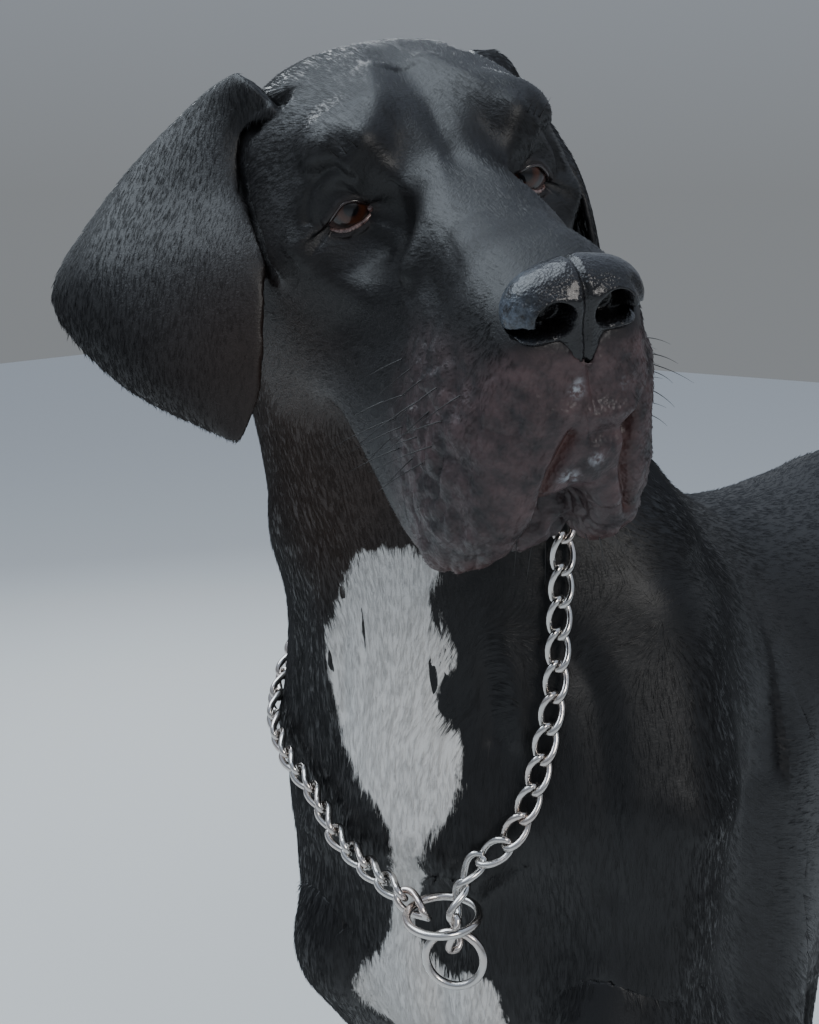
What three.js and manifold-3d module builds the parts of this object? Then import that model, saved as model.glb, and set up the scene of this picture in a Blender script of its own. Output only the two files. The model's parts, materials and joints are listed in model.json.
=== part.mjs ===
// A life-size standing great dane with a chain collar, as a still museum model.
// Millimetres, +Z up. The dog faces -Y and its left side is +X. The origin is on the floor.
//
// Each form of the body is a field: a function of x, y, z that is negative inside the form and
// about the distance to it outside. Forms blend together as flesh lies over bone, and rings of
// points are sent out from an axis to where the blended field ends.

import * as THREE from "three";
import { mergeVertices } from "three/addons/utils/BufferGeometryUtils.js";
import Module from "manifold-3d";

const wasm = await Module();
wasm.setup();

// Driving dimensions
const WITHERS = 845;
const BRISKET = 428;
const CHEST_HALF_WIDTH = 128;
const FORELEG_X = 100;
const HINDLEG_X = 94;
const GAP = 0.3;
const HANG = 0.115;

// The head is turned to the dog's left, tipped down a little and tilted, left side up.
const HEAD_AT = new THREE.Vector3(28, -210, 1022);
const HEAD_TURN = { yaw: 54.3, pitch: -10.3, roll: 10.8 };

// The collar: twisted wire links, and where it runs round the neck as [angle from the front, height].
const CHAIN = { pitch: 15.5, wire: 3.4, width: 13.5, over: 1.1, runs: 4, proud: 5.6, turn: -78 };
const SLIP_RING = { across: 40, wire: 4.2, at: [35, -214, 674], tip: -6 };
const END_RING = { across: 33, wire: 4.2, at: [41, -212, 652], yaw: 24 };
const COLLAR_ROUTE = [
  [19, 694],
  [28, 716],
  [44, 778],
  [58, 840],
  [72, 884],
  [100, 908],
  [140, 908],
  [180, 892],
  [225, 846],
  [270, 787],
  [310, 726],
  [334, 702],
  [346, 688],
];

// Ears in the head's frame: points down the front edge, the back edge, and how far rows arch out.
const EAR_THICK = 4.5;
const EARS = {
  right: {
    front: [[52, 60, 34], [68, 78, 28], [78, 68, 4], [79, 32, -26], [88, 16, -60], [100, 11, -100]],
    back: [[52, 118, 4], [92, 121, 12], [136, 118, -6], [172, 98, -38], [154, 60, -72], [112, 22, -100]],
    arch: [[12, 2, 30], [4, 4, 18], [8, -2, 9], [6, -8, 6], [5, -8, 2], [2, -4, 0]],
  },
  left: {
    front: [[44, 62, 36], [58, 68, 34], [68, 54, 12], [78, 38, -14], [82, 28, -48], [84, 34, -92]],
    back: [[50, 118, 4], [76, 122, 6], [92, 118, -18], [98, 102, -48], [96, 78, -80], [88, 46, -98]],
    arch: [[6, 2, 22], [6, 2, 12], [9, 0, 4], [8, -3, 0], [6, -4, 0], [3, -3, 0]],
  },
};
const EAR_STEPS = { across: 6, down: 10 };
const NAPE = { y: 104, z: -52, pitch: 40 };
const CLAW = { radius: 4.4, length: 22, sides: 5, back: 16, height: 12, lean: 214 };
const ROUTE_STEPS = 48;
const EYE_STEPS = [11, 7];

// Paws: middle of each, how far its pastern stands behind it, and its size
const PAWS = [
  { kind: "fore", x: FORELEG_X, y: -30, lean: 18, size: 1 },
  { kind: "hind", x: HINDLEG_X, y: 612, lean: 22, size: 0.94 },
];

// Colours
const BLACK = 0x141416;
const BROWN = 0x3a1c10;
const NOSE_GREY = 0x1c1f24;
const STEEL = 0xb9b4ac;

const rad = THREE.MathUtils.degToRad;
const lerp = THREE.MathUtils.lerp;
const vec = (x, y, z) => new THREE.Vector3(x, y, z);

// Turns: yaw swings forward (-Y) to the left, pitch lifts it, roll lifts the left side.
function turnOf({ yaw = 0, pitch = 0, roll = 0 }) {
  return new THREE.Quaternion().setFromEuler(new THREE.Euler(-rad(pitch), -rad(roll), rad(yaw), "ZXY"));
}

const HEAD_Q = turnOf(HEAD_TURN);
const turnX = (degrees) => new THREE.Quaternion().setFromEuler(new THREE.Euler(rad(degrees), 0, 0));
const headPoint = (x, y, z) => vec(x, y, z).applyQuaternion(HEAD_Q).add(HEAD_AT);

// Fields

// An oval with half sizes along its own axes, turned in degrees about x, y and z.
function oval(at, half, turn = [0, 0, 0]) {
  const q = new THREE.Quaternion().setFromEuler(new THREE.Euler(...turn.map(rad))).invert();
  const m = new THREE.Matrix4().makeRotationFromQuaternion(q).elements;
  const [a, b, c] = half;
  return (x, y, z) => {
    const dx = x - at[0];
    const dy = y - at[1];
    const dz = z - at[2];
    const u = m[0] * dx + m[4] * dy + m[8] * dz;
    const v = m[1] * dx + m[5] * dy + m[9] * dz;
    const w = m[2] * dx + m[6] * dy + m[10] * dz;
    const near = Math.hypot(u / a, v / b, w / c);
    const slope = Math.hypot(u / (a * a), v / (b * b), w / (c * c));
    return slope < 1e-9 ? -Math.min(a, b, c) : (near * (near - 1)) / slope;
  };
}

// A limb through [x, y, z, radius] joints. flat is its width across X as a share of its depth.
function limb(joints, flat = 1) {
  return (x, y, z) => {
    let best = Infinity;
    for (let i = 0; i + 1 < joints.length; i++) {
      const [ax, ay, az, ar] = joints[i];
      const [bx, by, bz, br] = joints[i + 1];
      const sx = (bx - ax) / flat;
      const sy = by - ay;
      const sz = bz - az;
      const px = (x - ax) / flat;
      const py = y - ay;
      const pz = z - az;
      const t = Math.min(1, Math.max(0, (px * sx + py * sy + pz * sz) / (sx * sx + sy * sy + sz * sz)));
      const d = Math.hypot(px - t * sx, py - t * sy, pz - t * sz) - lerp(ar, br, t);
      best = Math.min(best, d);
    }
    return best * Math.min(1, flat);
  };
}

// Smooth values along a row of stations: stations are [place, value, value, ...].
function profile(stations) {
  return (at) => {
    const n = stations.length;
    let i = 0;
    while (i < n - 2 && stations[i + 1][0] < at) i++;
    const span = stations[i + 1][0] - stations[i][0];
    const t = Math.min(1, Math.max(0, (at - stations[i][0]) / span));
    const before = stations[Math.max(0, i - 1)];
    const after = stations[Math.min(n - 1, i + 2)];
    const t2 = t * t;
    const t3 = t2 * t;
    return stations[i].slice(1).map((from, k) => {
      const to = stations[i + 1][k + 1];
      const slopeFrom = ((to - before[k + 1]) / (stations[i + 1][0] - before[0])) * span;
      const slopeTo = ((after[k + 1] - from) / (after[0] - stations[i][0])) * span;
      const h0 = 2 * t3 - 3 * t2 + 1;
      const h1 = t3 - 2 * t2 + t;
      return h0 * from + h1 * slopeFrom + (1 - h0) * to + (t3 - t2) * slopeTo;
    });
  };
}

// A form that runs along Y: [y, middle x, half width, top z, widest z, low z], rear last.
function lengthwise(stations, square = 2.2) {
  const shape = profile(stations);
  const from = stations[0][0];
  const to = stations[stations.length - 1][0];
  return (x, y, z) => {
    const at = Math.min(to, Math.max(from, y));
    const [middle, wide, top, mid, low] = shape(at);
    const tall = z > mid ? top - mid : mid - low;
    const share = (Math.abs(x - middle) / wide) ** square + (Math.abs(z - mid) / tall) ** square;
    const ring = (share ** (1 / square) - 1) * Math.min(wide, tall);
    const past = Math.abs(y - at);
    return past > 0 ? Math.hypot(Math.max(ring, 0), past) + Math.min(ring, 0) * 0.1 : ring;
  };
}

// A form along a line from a to b: [share of the way, half width, crest, throat, yaw, bow].
function column(a, b, stations, square = 2.2) {
  const shape = profile(stations);
  const axis = b.clone().sub(a);
  const length = axis.length();
  axis.normalize();
  return (x, y, z) => {
    const px = x - a.x;
    const py = y - a.y;
    const pz = z - a.z;
    const s = (px * axis.x + py * axis.y + pz * axis.z) / length;
    const t = Math.min(1, Math.max(0, s));
    const [wide, crest, throat, yaw, bow] = shape(t);
    let sx = Math.cos(rad(yaw));
    let sy = Math.sin(rad(yaw));
    const along = sx * axis.x + sy * axis.y;
    let [ux, uy, uz] = [sx - along * axis.x, sy - along * axis.y, -along * axis.z];
    const un = Math.hypot(ux, uy, uz);
    [ux, uy, uz] = [ux / un, uy / un, uz / un];
    const vx = axis.y * uz - axis.z * uy;
    const vy = axis.z * ux - axis.x * uz;
    const vz = axis.x * uy - axis.y * ux;
    const u = px * ux + py * uy + pz * uz;
    const v = -(px * vx + py * vy + pz * vz) - bow;
    const tall = v > 0 ? crest : throat;
    const share = (Math.abs(u) / wide) ** square + (Math.abs(v) / tall) ** square;
    const ring = (share ** (1 / square) - 1) * Math.min(wide, tall);
    const past = Math.abs(s - t) * length;
    return past > 0 ? Math.hypot(Math.max(ring, 0), past) + Math.min(ring, 0) * 0.1 : ring;
  };
}

// Two forms run into each other over about the distance k.
function blend(k, ...fields) {
  return (x, y, z) => {
    let d = fields[0](x, y, z);
    for (let i = 1; i < fields.length; i++) {
      const e = fields[i](x, y, z);
      const h = Math.max(k - Math.abs(d - e), 0) / k;
      d = Math.min(d, e) - (h * h * k) / 4;
    }
    return d;
  };
}

// Raises (or sinks, below zero) the surface round places: [x, y, z, height, across, along, up].
function swell(field, ...places) {
  return (x, y, z) => {
    let d = field(x, y, z);
    for (const [cx, cy, cz, height, across, along, up] of places) {
      const e = ((x - cx) / across) ** 2 + ((y - cy) / along) ** 2 + ((z - cz) / up) ** 2;
      if (e < 9) d -= height * Math.exp(-e);
    }
    return d;
  };
}

const both = (field) => (x, y, z) => field(Math.abs(x), y, z);
const grown = (field, by) => (x, y, z) => field(x, y, z) - by;

const trunk = lengthwise([
  [-172, 0, 30, 700, 640, 585],
  [-150, 0, 62, 735, 630, 545],
  [-110, 0, 84, 780, 625, 500],
  [-40, 0, 100, 828, 630, 448],
  [25, 0, 110, WITHERS, 635, BRISKET + 2],
  [100, 0, 121, 832, 640, BRISKET],
  [180, 0, CHEST_HALF_WIDTH, 818, 645, 438],
  [270, 0, 122, 811, 655, 464],
  [350, 0, 108, 812, 672, 504],
  [430, 0, 94, 816, 690, 545],
  [500, 0, 92, 812, 690, 566],
  [560, 0, 88, 796, 685, 580],
  [612, 0, 66, 764, 680, 604],
  [648, 0, 26, 716, 674, 636],
], 2.25);

// A limb is made for the left side, mirrored for the right, and kept clear of the midline.
const onSide = (side, form) => (x, y, z) => Math.max(form(side * x, y, z), 5 - side * x);

// The shoulder blade, the upper arm, the elbow and the foreleg down to the pastern.
const forelimb = blend(
  30,
  oval([74, -28, 706], [29, 74, 112], [-20, -5, -6]),
  limb([
    [86, -118, 592, 50],
    [FORELEG_X - 3, -58, 522, 48],
    [FORELEG_X, 18, 462, 38],
  ], 0.82),
  limb([
    [86, 40, 680, 54],
    [FORELEG_X, 36, 500, 42],
    [FORELEG_X, 44, 452, 26],
  ], 0.62),
  blend(
    12,
    limb([
      [FORELEG_X, 20, 462, 40],
      [FORELEG_X, 16, 390, 33],
      [FORELEG_X - 1, 12, 300, 23],
      [FORELEG_X - 1, 8, 222, 22],
      [FORELEG_X - 1, 6, 200, 24],
      [FORELEG_X, 2, 150, 19],
      [FORELEG_X, -12, 96, 20],
      [FORELEG_X, -26, 56, 22],
    ], 0.86),
    oval([FORELEG_X, 30, 204], [8, 8, 14]),
  ),
);

// The croup, thigh, stifle, second thigh, hock and rear pastern.
const hindlimb = blend(
  30,
  limb([
    [58, 500, 736, 56],
    [60, 590, 700, 50],
  ]),
  limb([
    [74, 552, 668, 86],
    [HINDLEG_X - 4, 502, 560, 74],
    [HINDLEG_X, 480, 482, 50],
  ], 0.62),
  limb([
    [64, 604, 670, 52],
    [HINDLEG_X - 8, 602, 540, 48],
    [HINDLEG_X - 1, 588, 450, 36],
    [HINDLEG_X, 600, 382, 20],
  ], 0.66),
  blend(
    14,
    limb([
      [HINDLEG_X, 482, 478, 47],
      [HINDLEG_X, 540, 402, 40],
      [HINDLEG_X, 600, 320, 26],
      [HINDLEG_X, 640, 262, 21],
      [HINDLEG_X, 650, 236, 22],
      [HINDLEG_X, 645, 170, 18],
      [HINDLEG_X, 637, 100, 19],
      [HINDLEG_X, 624, 56, 22],
    ], 0.74),
    limb([
      [HINDLEG_X, 596, 400, 20],
      [HINDLEG_X, 640, 322, 9],
      [HINDLEG_X, 670, 262, 10],
    ], 0.6),
    oval([HINDLEG_X, 666, 258], [11, 13, 18]),
  ),
);

// A paw on the floor below (x, y): four arched toes over a sole pad, the middle two longest.
const TOES = [
  [-29, -26],
  [-10.5, -47],
  [10.5, -47],
  [29, -26],
];
const toeField = ([across, ahead], x, y, size) =>
  limb([
    [x + across * 0.5 * size, y + 18, 46, 18 * size],
    [x + across * 0.92 * size, y + (ahead + 16) * size, 33 * size, 14.5 * size],
    [x + across * size, y + (ahead - 5) * size, 12.4 * size, 13 * size],
  ]);
const soleField = (x, y, size) =>
  blend(
    8,
    oval([x, y + 4, 20 * size], [33 * size, 34 * size, 22 * size]),
    limb([
      [x, y + 28, 96, 20],
      [x, y + 14, 56, 23],
      [x, y + 6, 38, 27],
    ], 0.96),
  );

// Neck
const NECK_BASE = vec(-6, -60, 715);
const NECK_HEAD = headPoint(-12, 96, -36);
const neck = column(NECK_BASE, NECK_HEAD, [
  [0, 116, 140, 134, 0, 0],
  [0.25, 110, 116, 126, 6, 0],
  [0.5, 100, 98, 110, 16, 0],
  [0.75, 88, 86, 96, 32, 0],
  [1, 77, 76, 84, 50, 0],
], 2.15);

// Head
// Its own frame: the origin midway between the eyes, -Y to the nose, +X its left.
const EYE = { x: 41, y: 5, z: 0, r: 12.5, turn: 22 };
const LID_R = 15;
const LIDS = { wide: 12.5, upper: 5, lower: 5.5, inner: -2.5, outer: 1 };
const NOSTRIL = { at: [12, -157, -17], half: [5.6, 13, 6], slit: [20.5, -153, -21.5], slitHalf: [9, 8, 2] };
const HEAD_M = new THREE.Matrix4().compose(HEAD_AT, HEAD_Q, vec(1, 1, 1));
const skull = lengthwise([
  [-32, 0, 34, 10, -10, -60],
  [-12, 0, 42, 24, -6, -62],
  [8, 0, 53, 39, 0, -64],
  [40, 0, 62, 48, 4, -70],
  [85, 0, 64, 51, 6, -74],
  [122, 0, 50, 44, 6, -60],
  [146, 0, 22, 28, 8, -20],
], 2.3);
const muzzle = lengthwise([
  [-153, 0, 25, -10, -44, -82],
  [-146, 0, 33, 0, -42, -90],
  [-136, 0, 35, 5, -40, -92],
  [-110, 0, 36, 6, -40, -92],
  [-60, 0, 36, 6, -36, -92],
  [-20, 0, 40, 12, -30, -92],
  [30, 0, 48, 24, -20, -96],
], 2.8);
const flews = both(
  lengthwise([
    [-148, 22, 8, -50, -70, -90],
    [-138, 25, 14, -40, -74, -112],
    [-108, 30, 17, -35, -88, -136],
    [-70, 33, 17, -40, -88, -132],
    [-38, 37, 16, -48, -84, -118],
    [-6, 42, 14, -50, -76, -99],
    [26, 46, 12, -50, -68, -84],
  ], 2.4),
);
const jaw = lengthwise([
  [-122, 0, 13, -88, -106, -120],
  [-112, 0, 21, -80, -106, -128],
  [-80, 0, 23, -76, -98, -122],
  [-30, 0, 28, -70, -92, -114],
  [20, 0, 36, -60, -88, -112],
  [60, 0, 40, -60, -80, -104],
], 2.4);
const cheeks = both(
  blend(
    14,
    oval([46, 62, -32], [23, 50, 42]),
    oval([51, 30, -14], [14, 40, 13], [0, 0, -8]),
    oval([33, 3, 25], [17, 13, 11]),
    oval([38, 84, -64], [26, 44, 38]),
    oval([66, 102, -2], [18, 18, 22]),
  ),
);
// The head tilts, but loose lips and chin hang straight down.
const hang = (field) => (x, y, z) => field(x - HANG * Math.min(0, z + 20), y, z);
const headForms = swell(
  blend(24, skull, hang(blend(15, muzzle, flews)), cheeks),
  [0, 26, 48, -5, 9, 40, 22],
  [0, -20, 14, -4, 12, 12, 12],
  [26, -12, -2, -5, 10, 14, 14],
  [-26, -12, -2, -5, 10, 14, 14],
  [0, -158, -62, -4, 3.5, 20, 40],
);
const nose = blend(
  6,
  oval([0, -145, -10], [22, 15, 13]),
  both(oval([14, -146, -15], [11.5, 13, 12.5])),
  oval([0, -147, -26], [9, 9, 15]),
);
const inv = HEAD_Q.clone().invert();
const inHead = (field) => (x, y, z) => {
  const p = vec(x, y, z).sub(HEAD_AT).applyQuaternion(inv);
  return field(p.x, p.y, p.z);
};
const wholeHead = inHead(blend(5, headForms, both(oval([EYE.x, EYE.y, EYE.z], [LID_R, LID_R, LID_R]))));
// The muscle that runs down each side of the neck to the point of the shoulder.
const neckMuscle = both(
  limb([
    [64, -92, 830, 38],
    [87, -110, 720, 46],
    [86, -108, 650, 44],
    [80, -84, 590, 30],
  ]),
);
const body = blend(45, trunk, neck, neckMuscle, inHead(blend(15, skull, cheeks)));

// Rings

// How far it is from o along d to where the field ends, coming in from far or out from o.
function reach(field, o, d, far, inward) {
  const at = (s) => field(o.x + d.x * s, o.y + d.y * s, o.z + d.z * s);
  let inside = 0;
  let outside = far;
  if (inward) {
    let s = far;
    for (let f = at(s); f > 0 && s > 0; f = at(s)) {
      outside = s;
      s -= Math.max(f * 0.6, 1.2);
    }
    inside = Math.max(0, s);
  } else {
    let s = 0;
    for (let f = at(s); f <= 0 && s < far; f = at(s)) {
      inside = s;
      s += Math.max(-f * 0.6, 1.2);
    }
    outside = Math.min(far, s);
  }
  for (let i = 0; i < 14; i++) {
    const mid = (inside + outside) / 2;
    if (at(mid) > 0) outside = mid;
    else inside = mid;
  }
  return (inside + outside) / 2;
}

// A closed skin round a row of stations {o, q}: rings lie across each station's own -Y.
// start and end are 0 for a cut face, or a number of rings that round the end off.
function rings(field, stations, sides, { start = 0, end = 0, far = 400, inward = true } = {}) {
  const loops = [];
  const ringAt = ({ o, q }, lean) => {
    const loop = [];
    for (let j = 0; j < sides; j++) {
      const a = (j / sides) * 2 * Math.PI;
      const c = Math.cos(lean);
      const d = vec(Math.sin(a) * c, -Math.sin(lean), Math.cos(a) * c).applyQuaternion(q);
      loop.push(o.clone().addScaledVector(d, reach(field, o, d, far, inward)));
    }
    return loop;
  };
  const tip = ({ o, q }, sign) => {
    const d = vec(0, -sign, 0).applyQuaternion(q);
    return o.clone().addScaledVector(d, reach(field, o, d, far, inward));
  };
  const first = stations[0];
  const last = stations[stations.length - 1];
  for (let i = start; i > 0; i--) loops.push(ringAt(first, (-i / (start + 1)) * (Math.PI / 2)));
  for (const s of stations) loops.push(ringAt(s, 0));
  for (let i = 1; i <= end; i++) loops.push(ringAt(last, (i / (end + 1)) * (Math.PI / 2)));
  return closed(loops, start ? tip(first, -1) : first.o, end ? tip(last, 1) : last.o);
}

// Joins loops of points, each with as many points, into one closed body with a point at each end.
function closed(loops, startPoint, endPoint) {
  const sides = loops[0].length;
  const points = [startPoint, ...loops.flat(), endPoint];
  const faces = [];
  const id = (i, j) => 1 + i * sides + (j % sides);
  for (let j = 0; j < sides; j++) {
    faces.push(0, id(0, j + 1), id(0, j));
    faces.push(points.length - 1, id(loops.length - 1, j), id(loops.length - 1, j + 1));
  }
  for (let i = 0; i + 1 < loops.length; i++)
    for (let j = 0; j < sides; j++) {
      const [a, b, c, d] = [id(i, j), id(i, j + 1), id(i + 1, j + 1), id(i + 1, j)];
      if (points[a].distanceTo(points[c]) < points[b].distanceTo(points[d])) faces.push(a, b, c, a, c, d);
      else faces.push(a, b, d, b, c, d);
    }
  return solid(meshOf(points, faces));
}

// Solids

function meshOf(points, faces) {
  const g = new THREE.BufferGeometry();
  const flat = points.flatMap((p) => [p.x, p.y, p.z]);
  g.setAttribute("position", new THREE.Float32BufferAttribute(flat, 3));
  g.setIndex(faces);
  return g;
}

function solid(geometry, matrix) {
  const g = geometry.clone();
  g.deleteAttribute("normal");
  g.deleteAttribute("uv");
  if (matrix) g.applyMatrix4(matrix);
  const merged = mergeVertices(g, 1e-4);
  const vertProperties = merged.attributes.position.array;
  const make = (triVerts) => new wasm.Manifold(new wasm.Mesh({ numProp: 3, vertProperties, triVerts }));
  const faces = new Uint32Array(merged.index.array);
  const made = make(faces);
  if (made.volume() > 0) return made;
  for (let i = 0; i < faces.length; i += 3) {
    [faces[i + 1], faces[i + 2]] = [faces[i + 2], faces[i + 1]];
  }
  return make(faces);
}

// A cut can leave scraps: a node keeps its largest closed body.
function largest(made) {
  return made.decompose().sort((a, b) => b.volume() - a.volume())[0];
}

// A curved sheet of points surface(u, v), with alike triangles on both faces and a thin rim.
function sheet(surface, across, down, thick) {
  const point = [];
  const normal = [];
  const id = (i, j) => j * (across + 1) + i;
  for (let j = 0; j <= down; j++)
    for (let i = 0; i <= across; i++) {
      const [u, v] = [i / across, j / down];
      const e = 0.01;
      const du = surface(Math.min(1, u + e), v).sub(surface(Math.max(0, u - e), v));
      const dv = surface(u, Math.min(1, v + e)).sub(surface(u, Math.max(0, v - e)));
      point.push(surface(u, v));
      normal.push(du.cross(dv).normalize());
    }
  const half = point.map((p, k) => p.clone().addScaledVector(normal[k], thick / 2));
  const other = point.map((p, k) => p.clone().addScaledVector(normal[k], -thick / 2));
  const n = point.length;
  const faces = [];
  for (let j = 0; j < down; j++)
    for (let i = 0; i < across; i++) {
      const [a, b, c, d] = [id(i, j), id(i + 1, j), id(i + 1, j + 1), id(i, j + 1)];
      faces.push(a, b, c, a, c, d, n + a, n + c, n + b, n + a, n + d, n + c);
    }
  const rim = [];
  for (let i = 0; i < across; i++) rim.push(id(i, 0));
  for (let j = 0; j < down; j++) rim.push(id(across, j));
  for (let i = across; i > 0; i--) rim.push(id(i, down));
  for (let j = down; j > 0; j--) rim.push(id(0, j));
  rim.forEach((a, k) => {
    const b = rim[(k + 1) % rim.length];
    faces.push(a, n + a, n + b, a, n + b, b);
  });
  return solid(meshOf([...half, ...other], faces));
}

// The almond opening between the lids, pushed out along the way the eye looks.
function lidOpening(side) {
  const shape = new THREE.Shape();
  shape.moveTo(-LIDS.wide, LIDS.inner);
  shape.quadraticCurveTo(0, LIDS.upper * 2, LIDS.wide, LIDS.outer);
  shape.quadraticCurveTo(0, -LIDS.lower * 2, -LIDS.wide, LIDS.inner);
  const g = new THREE.ExtrudeGeometry(shape, { depth: 40, bevelEnabled: false, curveSegments: 6 });
  const q = new THREE.Quaternion().setFromEuler(new THREE.Euler(rad(90), 0, rad(side * EYE.turn), "ZXY"));
  const flip = new THREE.Matrix4().makeScale(side, 1, 1);
  const m = new THREE.Matrix4().compose(vec(side * EYE.x, EYE.y, EYE.z), q, vec(1, 1, 1));
  return solid(g, m.multiply(flip).premultiply(HEAD_M));
}

// An ear: rows from its front edge to its back edge, arched outwards by its arch, root to tip.
function earSheet(ear, side, thick) {
  const curveOf = (points) => {
    return new THREE.CatmullRomCurve3(points.map(([x, y, z]) => headPoint(side * x, y, z)));
  };
  const front = curveOf(ear.front);
  const back = curveOf(ear.back);
  const arch = curveOf(ear.arch);
  const surface = (u, v) => {
    const a = front.getPoint(v);
    const b = back.getPoint(v);
    const rise = arch.getPoint(v).sub(HEAD_AT).multiplyScalar(4 * u * (1 - u));
    return a.lerp(b, u).add(rise);
  };
  return sheet(surface, EAR_STEPS.across, EAR_STEPS.down, thick);
}

const group = new THREE.Group();
function node(name, made, colour, roughness = 0.6, metalness = 0) {
  const mesh = largest(made).getMesh();
  const g = new THREE.BufferGeometry();
  const points = new Float32Array(mesh.numVert * 3);
  for (let i = 0; i < mesh.numVert; i++)
    points.set(mesh.vertProperties.subarray(i * mesh.numProp, i * mesh.numProp + 3), i * 3);
  g.setAttribute("position", new THREE.BufferAttribute(points, 3));
  g.setIndex(new THREE.BufferAttribute(mesh.triVerts, 1));
  const part = new THREE.Mesh(g, new THREE.MeshStandardMaterial({ color: colour, roughness, metalness }));
  part.name = name;
  group.add(part);
}

// Stations between a few given ones, with counts[i] steps in each span.
function stationsBetween(marks, counts) {
  const made = [];
  const curve = new THREE.CatmullRomCurve3(marks.map((m) => m.o));
  marks.slice(0, -1).forEach((mark, i) => {
    for (let k = 0; k < counts[i]; k++) {
      const t = k / counts[i];
      const o = curve.getPoint((i + t) / (marks.length - 1));
      made.push({ o, q: mark.q.clone().slerp(marks[i + 1].q, t) });
    }
  });
  const last = marks[marks.length - 1];
  made.push({ o: last.o.clone(), q: last.q.clone() });
  return made;
}
const mark = (x, y, z, turn = {}) => ({ o: vec(x, y, z), q: turnOf(turn) });
const headMark = (x, y, z, turn = {}) => ({
  o: headPoint(x, y, z),
  q: HEAD_Q.clone().multiply(turnOf(turn)),
});
const nudge = (station, by) => ({
  o: station.o.clone().add(vec(0, -by, 0).applyQuaternion(station.q)),
  q: station.q.clone(),
});

const SIDES = [1, -1];
const nameOf = (side) => (side > 0 ? "left" : "right");

// A half space beyond a station's plane, as a large block.
function beyond(station, by) {
  const size = 2400;
  const place = nudge(station, size / 2 + by);
  const m = new THREE.Matrix4().compose(place.o, place.q, vec(1, 1, 1));
  return solid(new THREE.BoxGeometry(size, size, size), m);
}

// Tail
const tail = limb([
  [0, 612, 738, 32],
  [0, 650, 722, 27],
  [0, 688, 660, 23],
  [0, 706, 560, 19],
  [0, 712, 450, 15],
  [0, 718, 350, 11],
  [0, 736, 272, 5],
]);
const tailMarks = [
  mark(0, 640, 728, { yaw: 180, pitch: -30 }),
  mark(0, 690, 655, { yaw: 180, pitch: -72 }),
  mark(0, 711, 450, { yaw: 180, pitch: -88 }),
  mark(0, 734, 278, { yaw: 180, pitch: -68 }),
];
const tailOf = (by) => {
  return rings(grown(tail, by), stationsBetween(tailMarks, [3, 3, 3]), 9, { start: 2, end: 2, far: 60 });
};
node("tail", tailOf(0), BLACK);
const tailRoot = tailOf(GAP).add(tailOf(0));

// Legs
const DOWN = { pitch: -90 };
const aboveFloor = beyond(mark(0, 0, 0, { pitch: 90 }), 0);
const ELBOW_CUT = 420;
const STIFLE_CUT = 436;
const PASTERN_CUT = 86;
const shoulderMarks = (side, by) => [
  mark(side * 80, -6, 786, DOWN),
  mark(side * 82, -28, 700, DOWN),
  mark(side * 90, -42, 610, DOWN),
  mark(side * 97, -18, 530, DOWN),
  mark(side * FORELEG_X, 20, 464, DOWN),
  mark(side * FORELEG_X, 20, ELBOW_CUT - by, DOWN),
];
const thighMarks = (side, by) => [
  mark(side * 62, 548, 732, DOWN),
  mark(side * 76, 548, 650, DOWN),
  mark(side * HINDLEG_X, 542, 560, DOWN),
  mark(side * HINDLEG_X, 535, 496, DOWN),
  mark(side * HINDLEG_X, 540, STIFLE_CUT - by, DOWN),
];
const makeLimb = (form, side, stations, counts, sides, options) =>
  rings(onSide(side, form), stationsBetween(stations, counts), sides, options);

// A paw is its sole and pastern, four toes and a claw on each, cut flat on the floor.
function paw(x, y, lean, size) {
  const sole = [
    mark(x, y + lean, PASTERN_CUT - GAP, DOWN),
    mark(x, y + 8, 50, DOWN),
    mark(x, y + 4, 20, DOWN),
  ];
  let made = rings(soleField(x, y, size), stationsBetween(sole, [1, 1]), 13, { end: 2, far: 90 });
  for (const toe of TOES) {
    const [across, ahead] = toe;
    const toeMarks = [
      mark(x + across * 0.6 * size, y + 10, 42, { pitch: -25 }),
      mark(x + across * 0.92 * size, y + (ahead + 16) * size, 33 * size, { pitch: -40 }),
      mark(x + across * size, y + (ahead - 3) * size, 14 * size, { pitch: -60 }),
    ];
    const rows = stationsBetween(toeMarks, [1, 1]);
    made = made.add(rings(toeField(toe, x, y, size), rows, 6, { start: 1, end: 1, far: 30 }));
    const at = vec(x + across * size, y + (ahead - CLAW.back) * size, CLAW.height * size);
    const turned = new THREE.Matrix4().compose(at, turnX(CLAW.lean), vec(1, 1, 1));
    made = made.add(solid(new THREE.ConeGeometry(CLAW.radius, CLAW.length, CLAW.sides), turned));
  }
  return made.intersect(aboveFloor);
}
const rootsOfLimbs = [tailRoot];
const intoTrunk = { start: 3, far: 220 };
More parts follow.
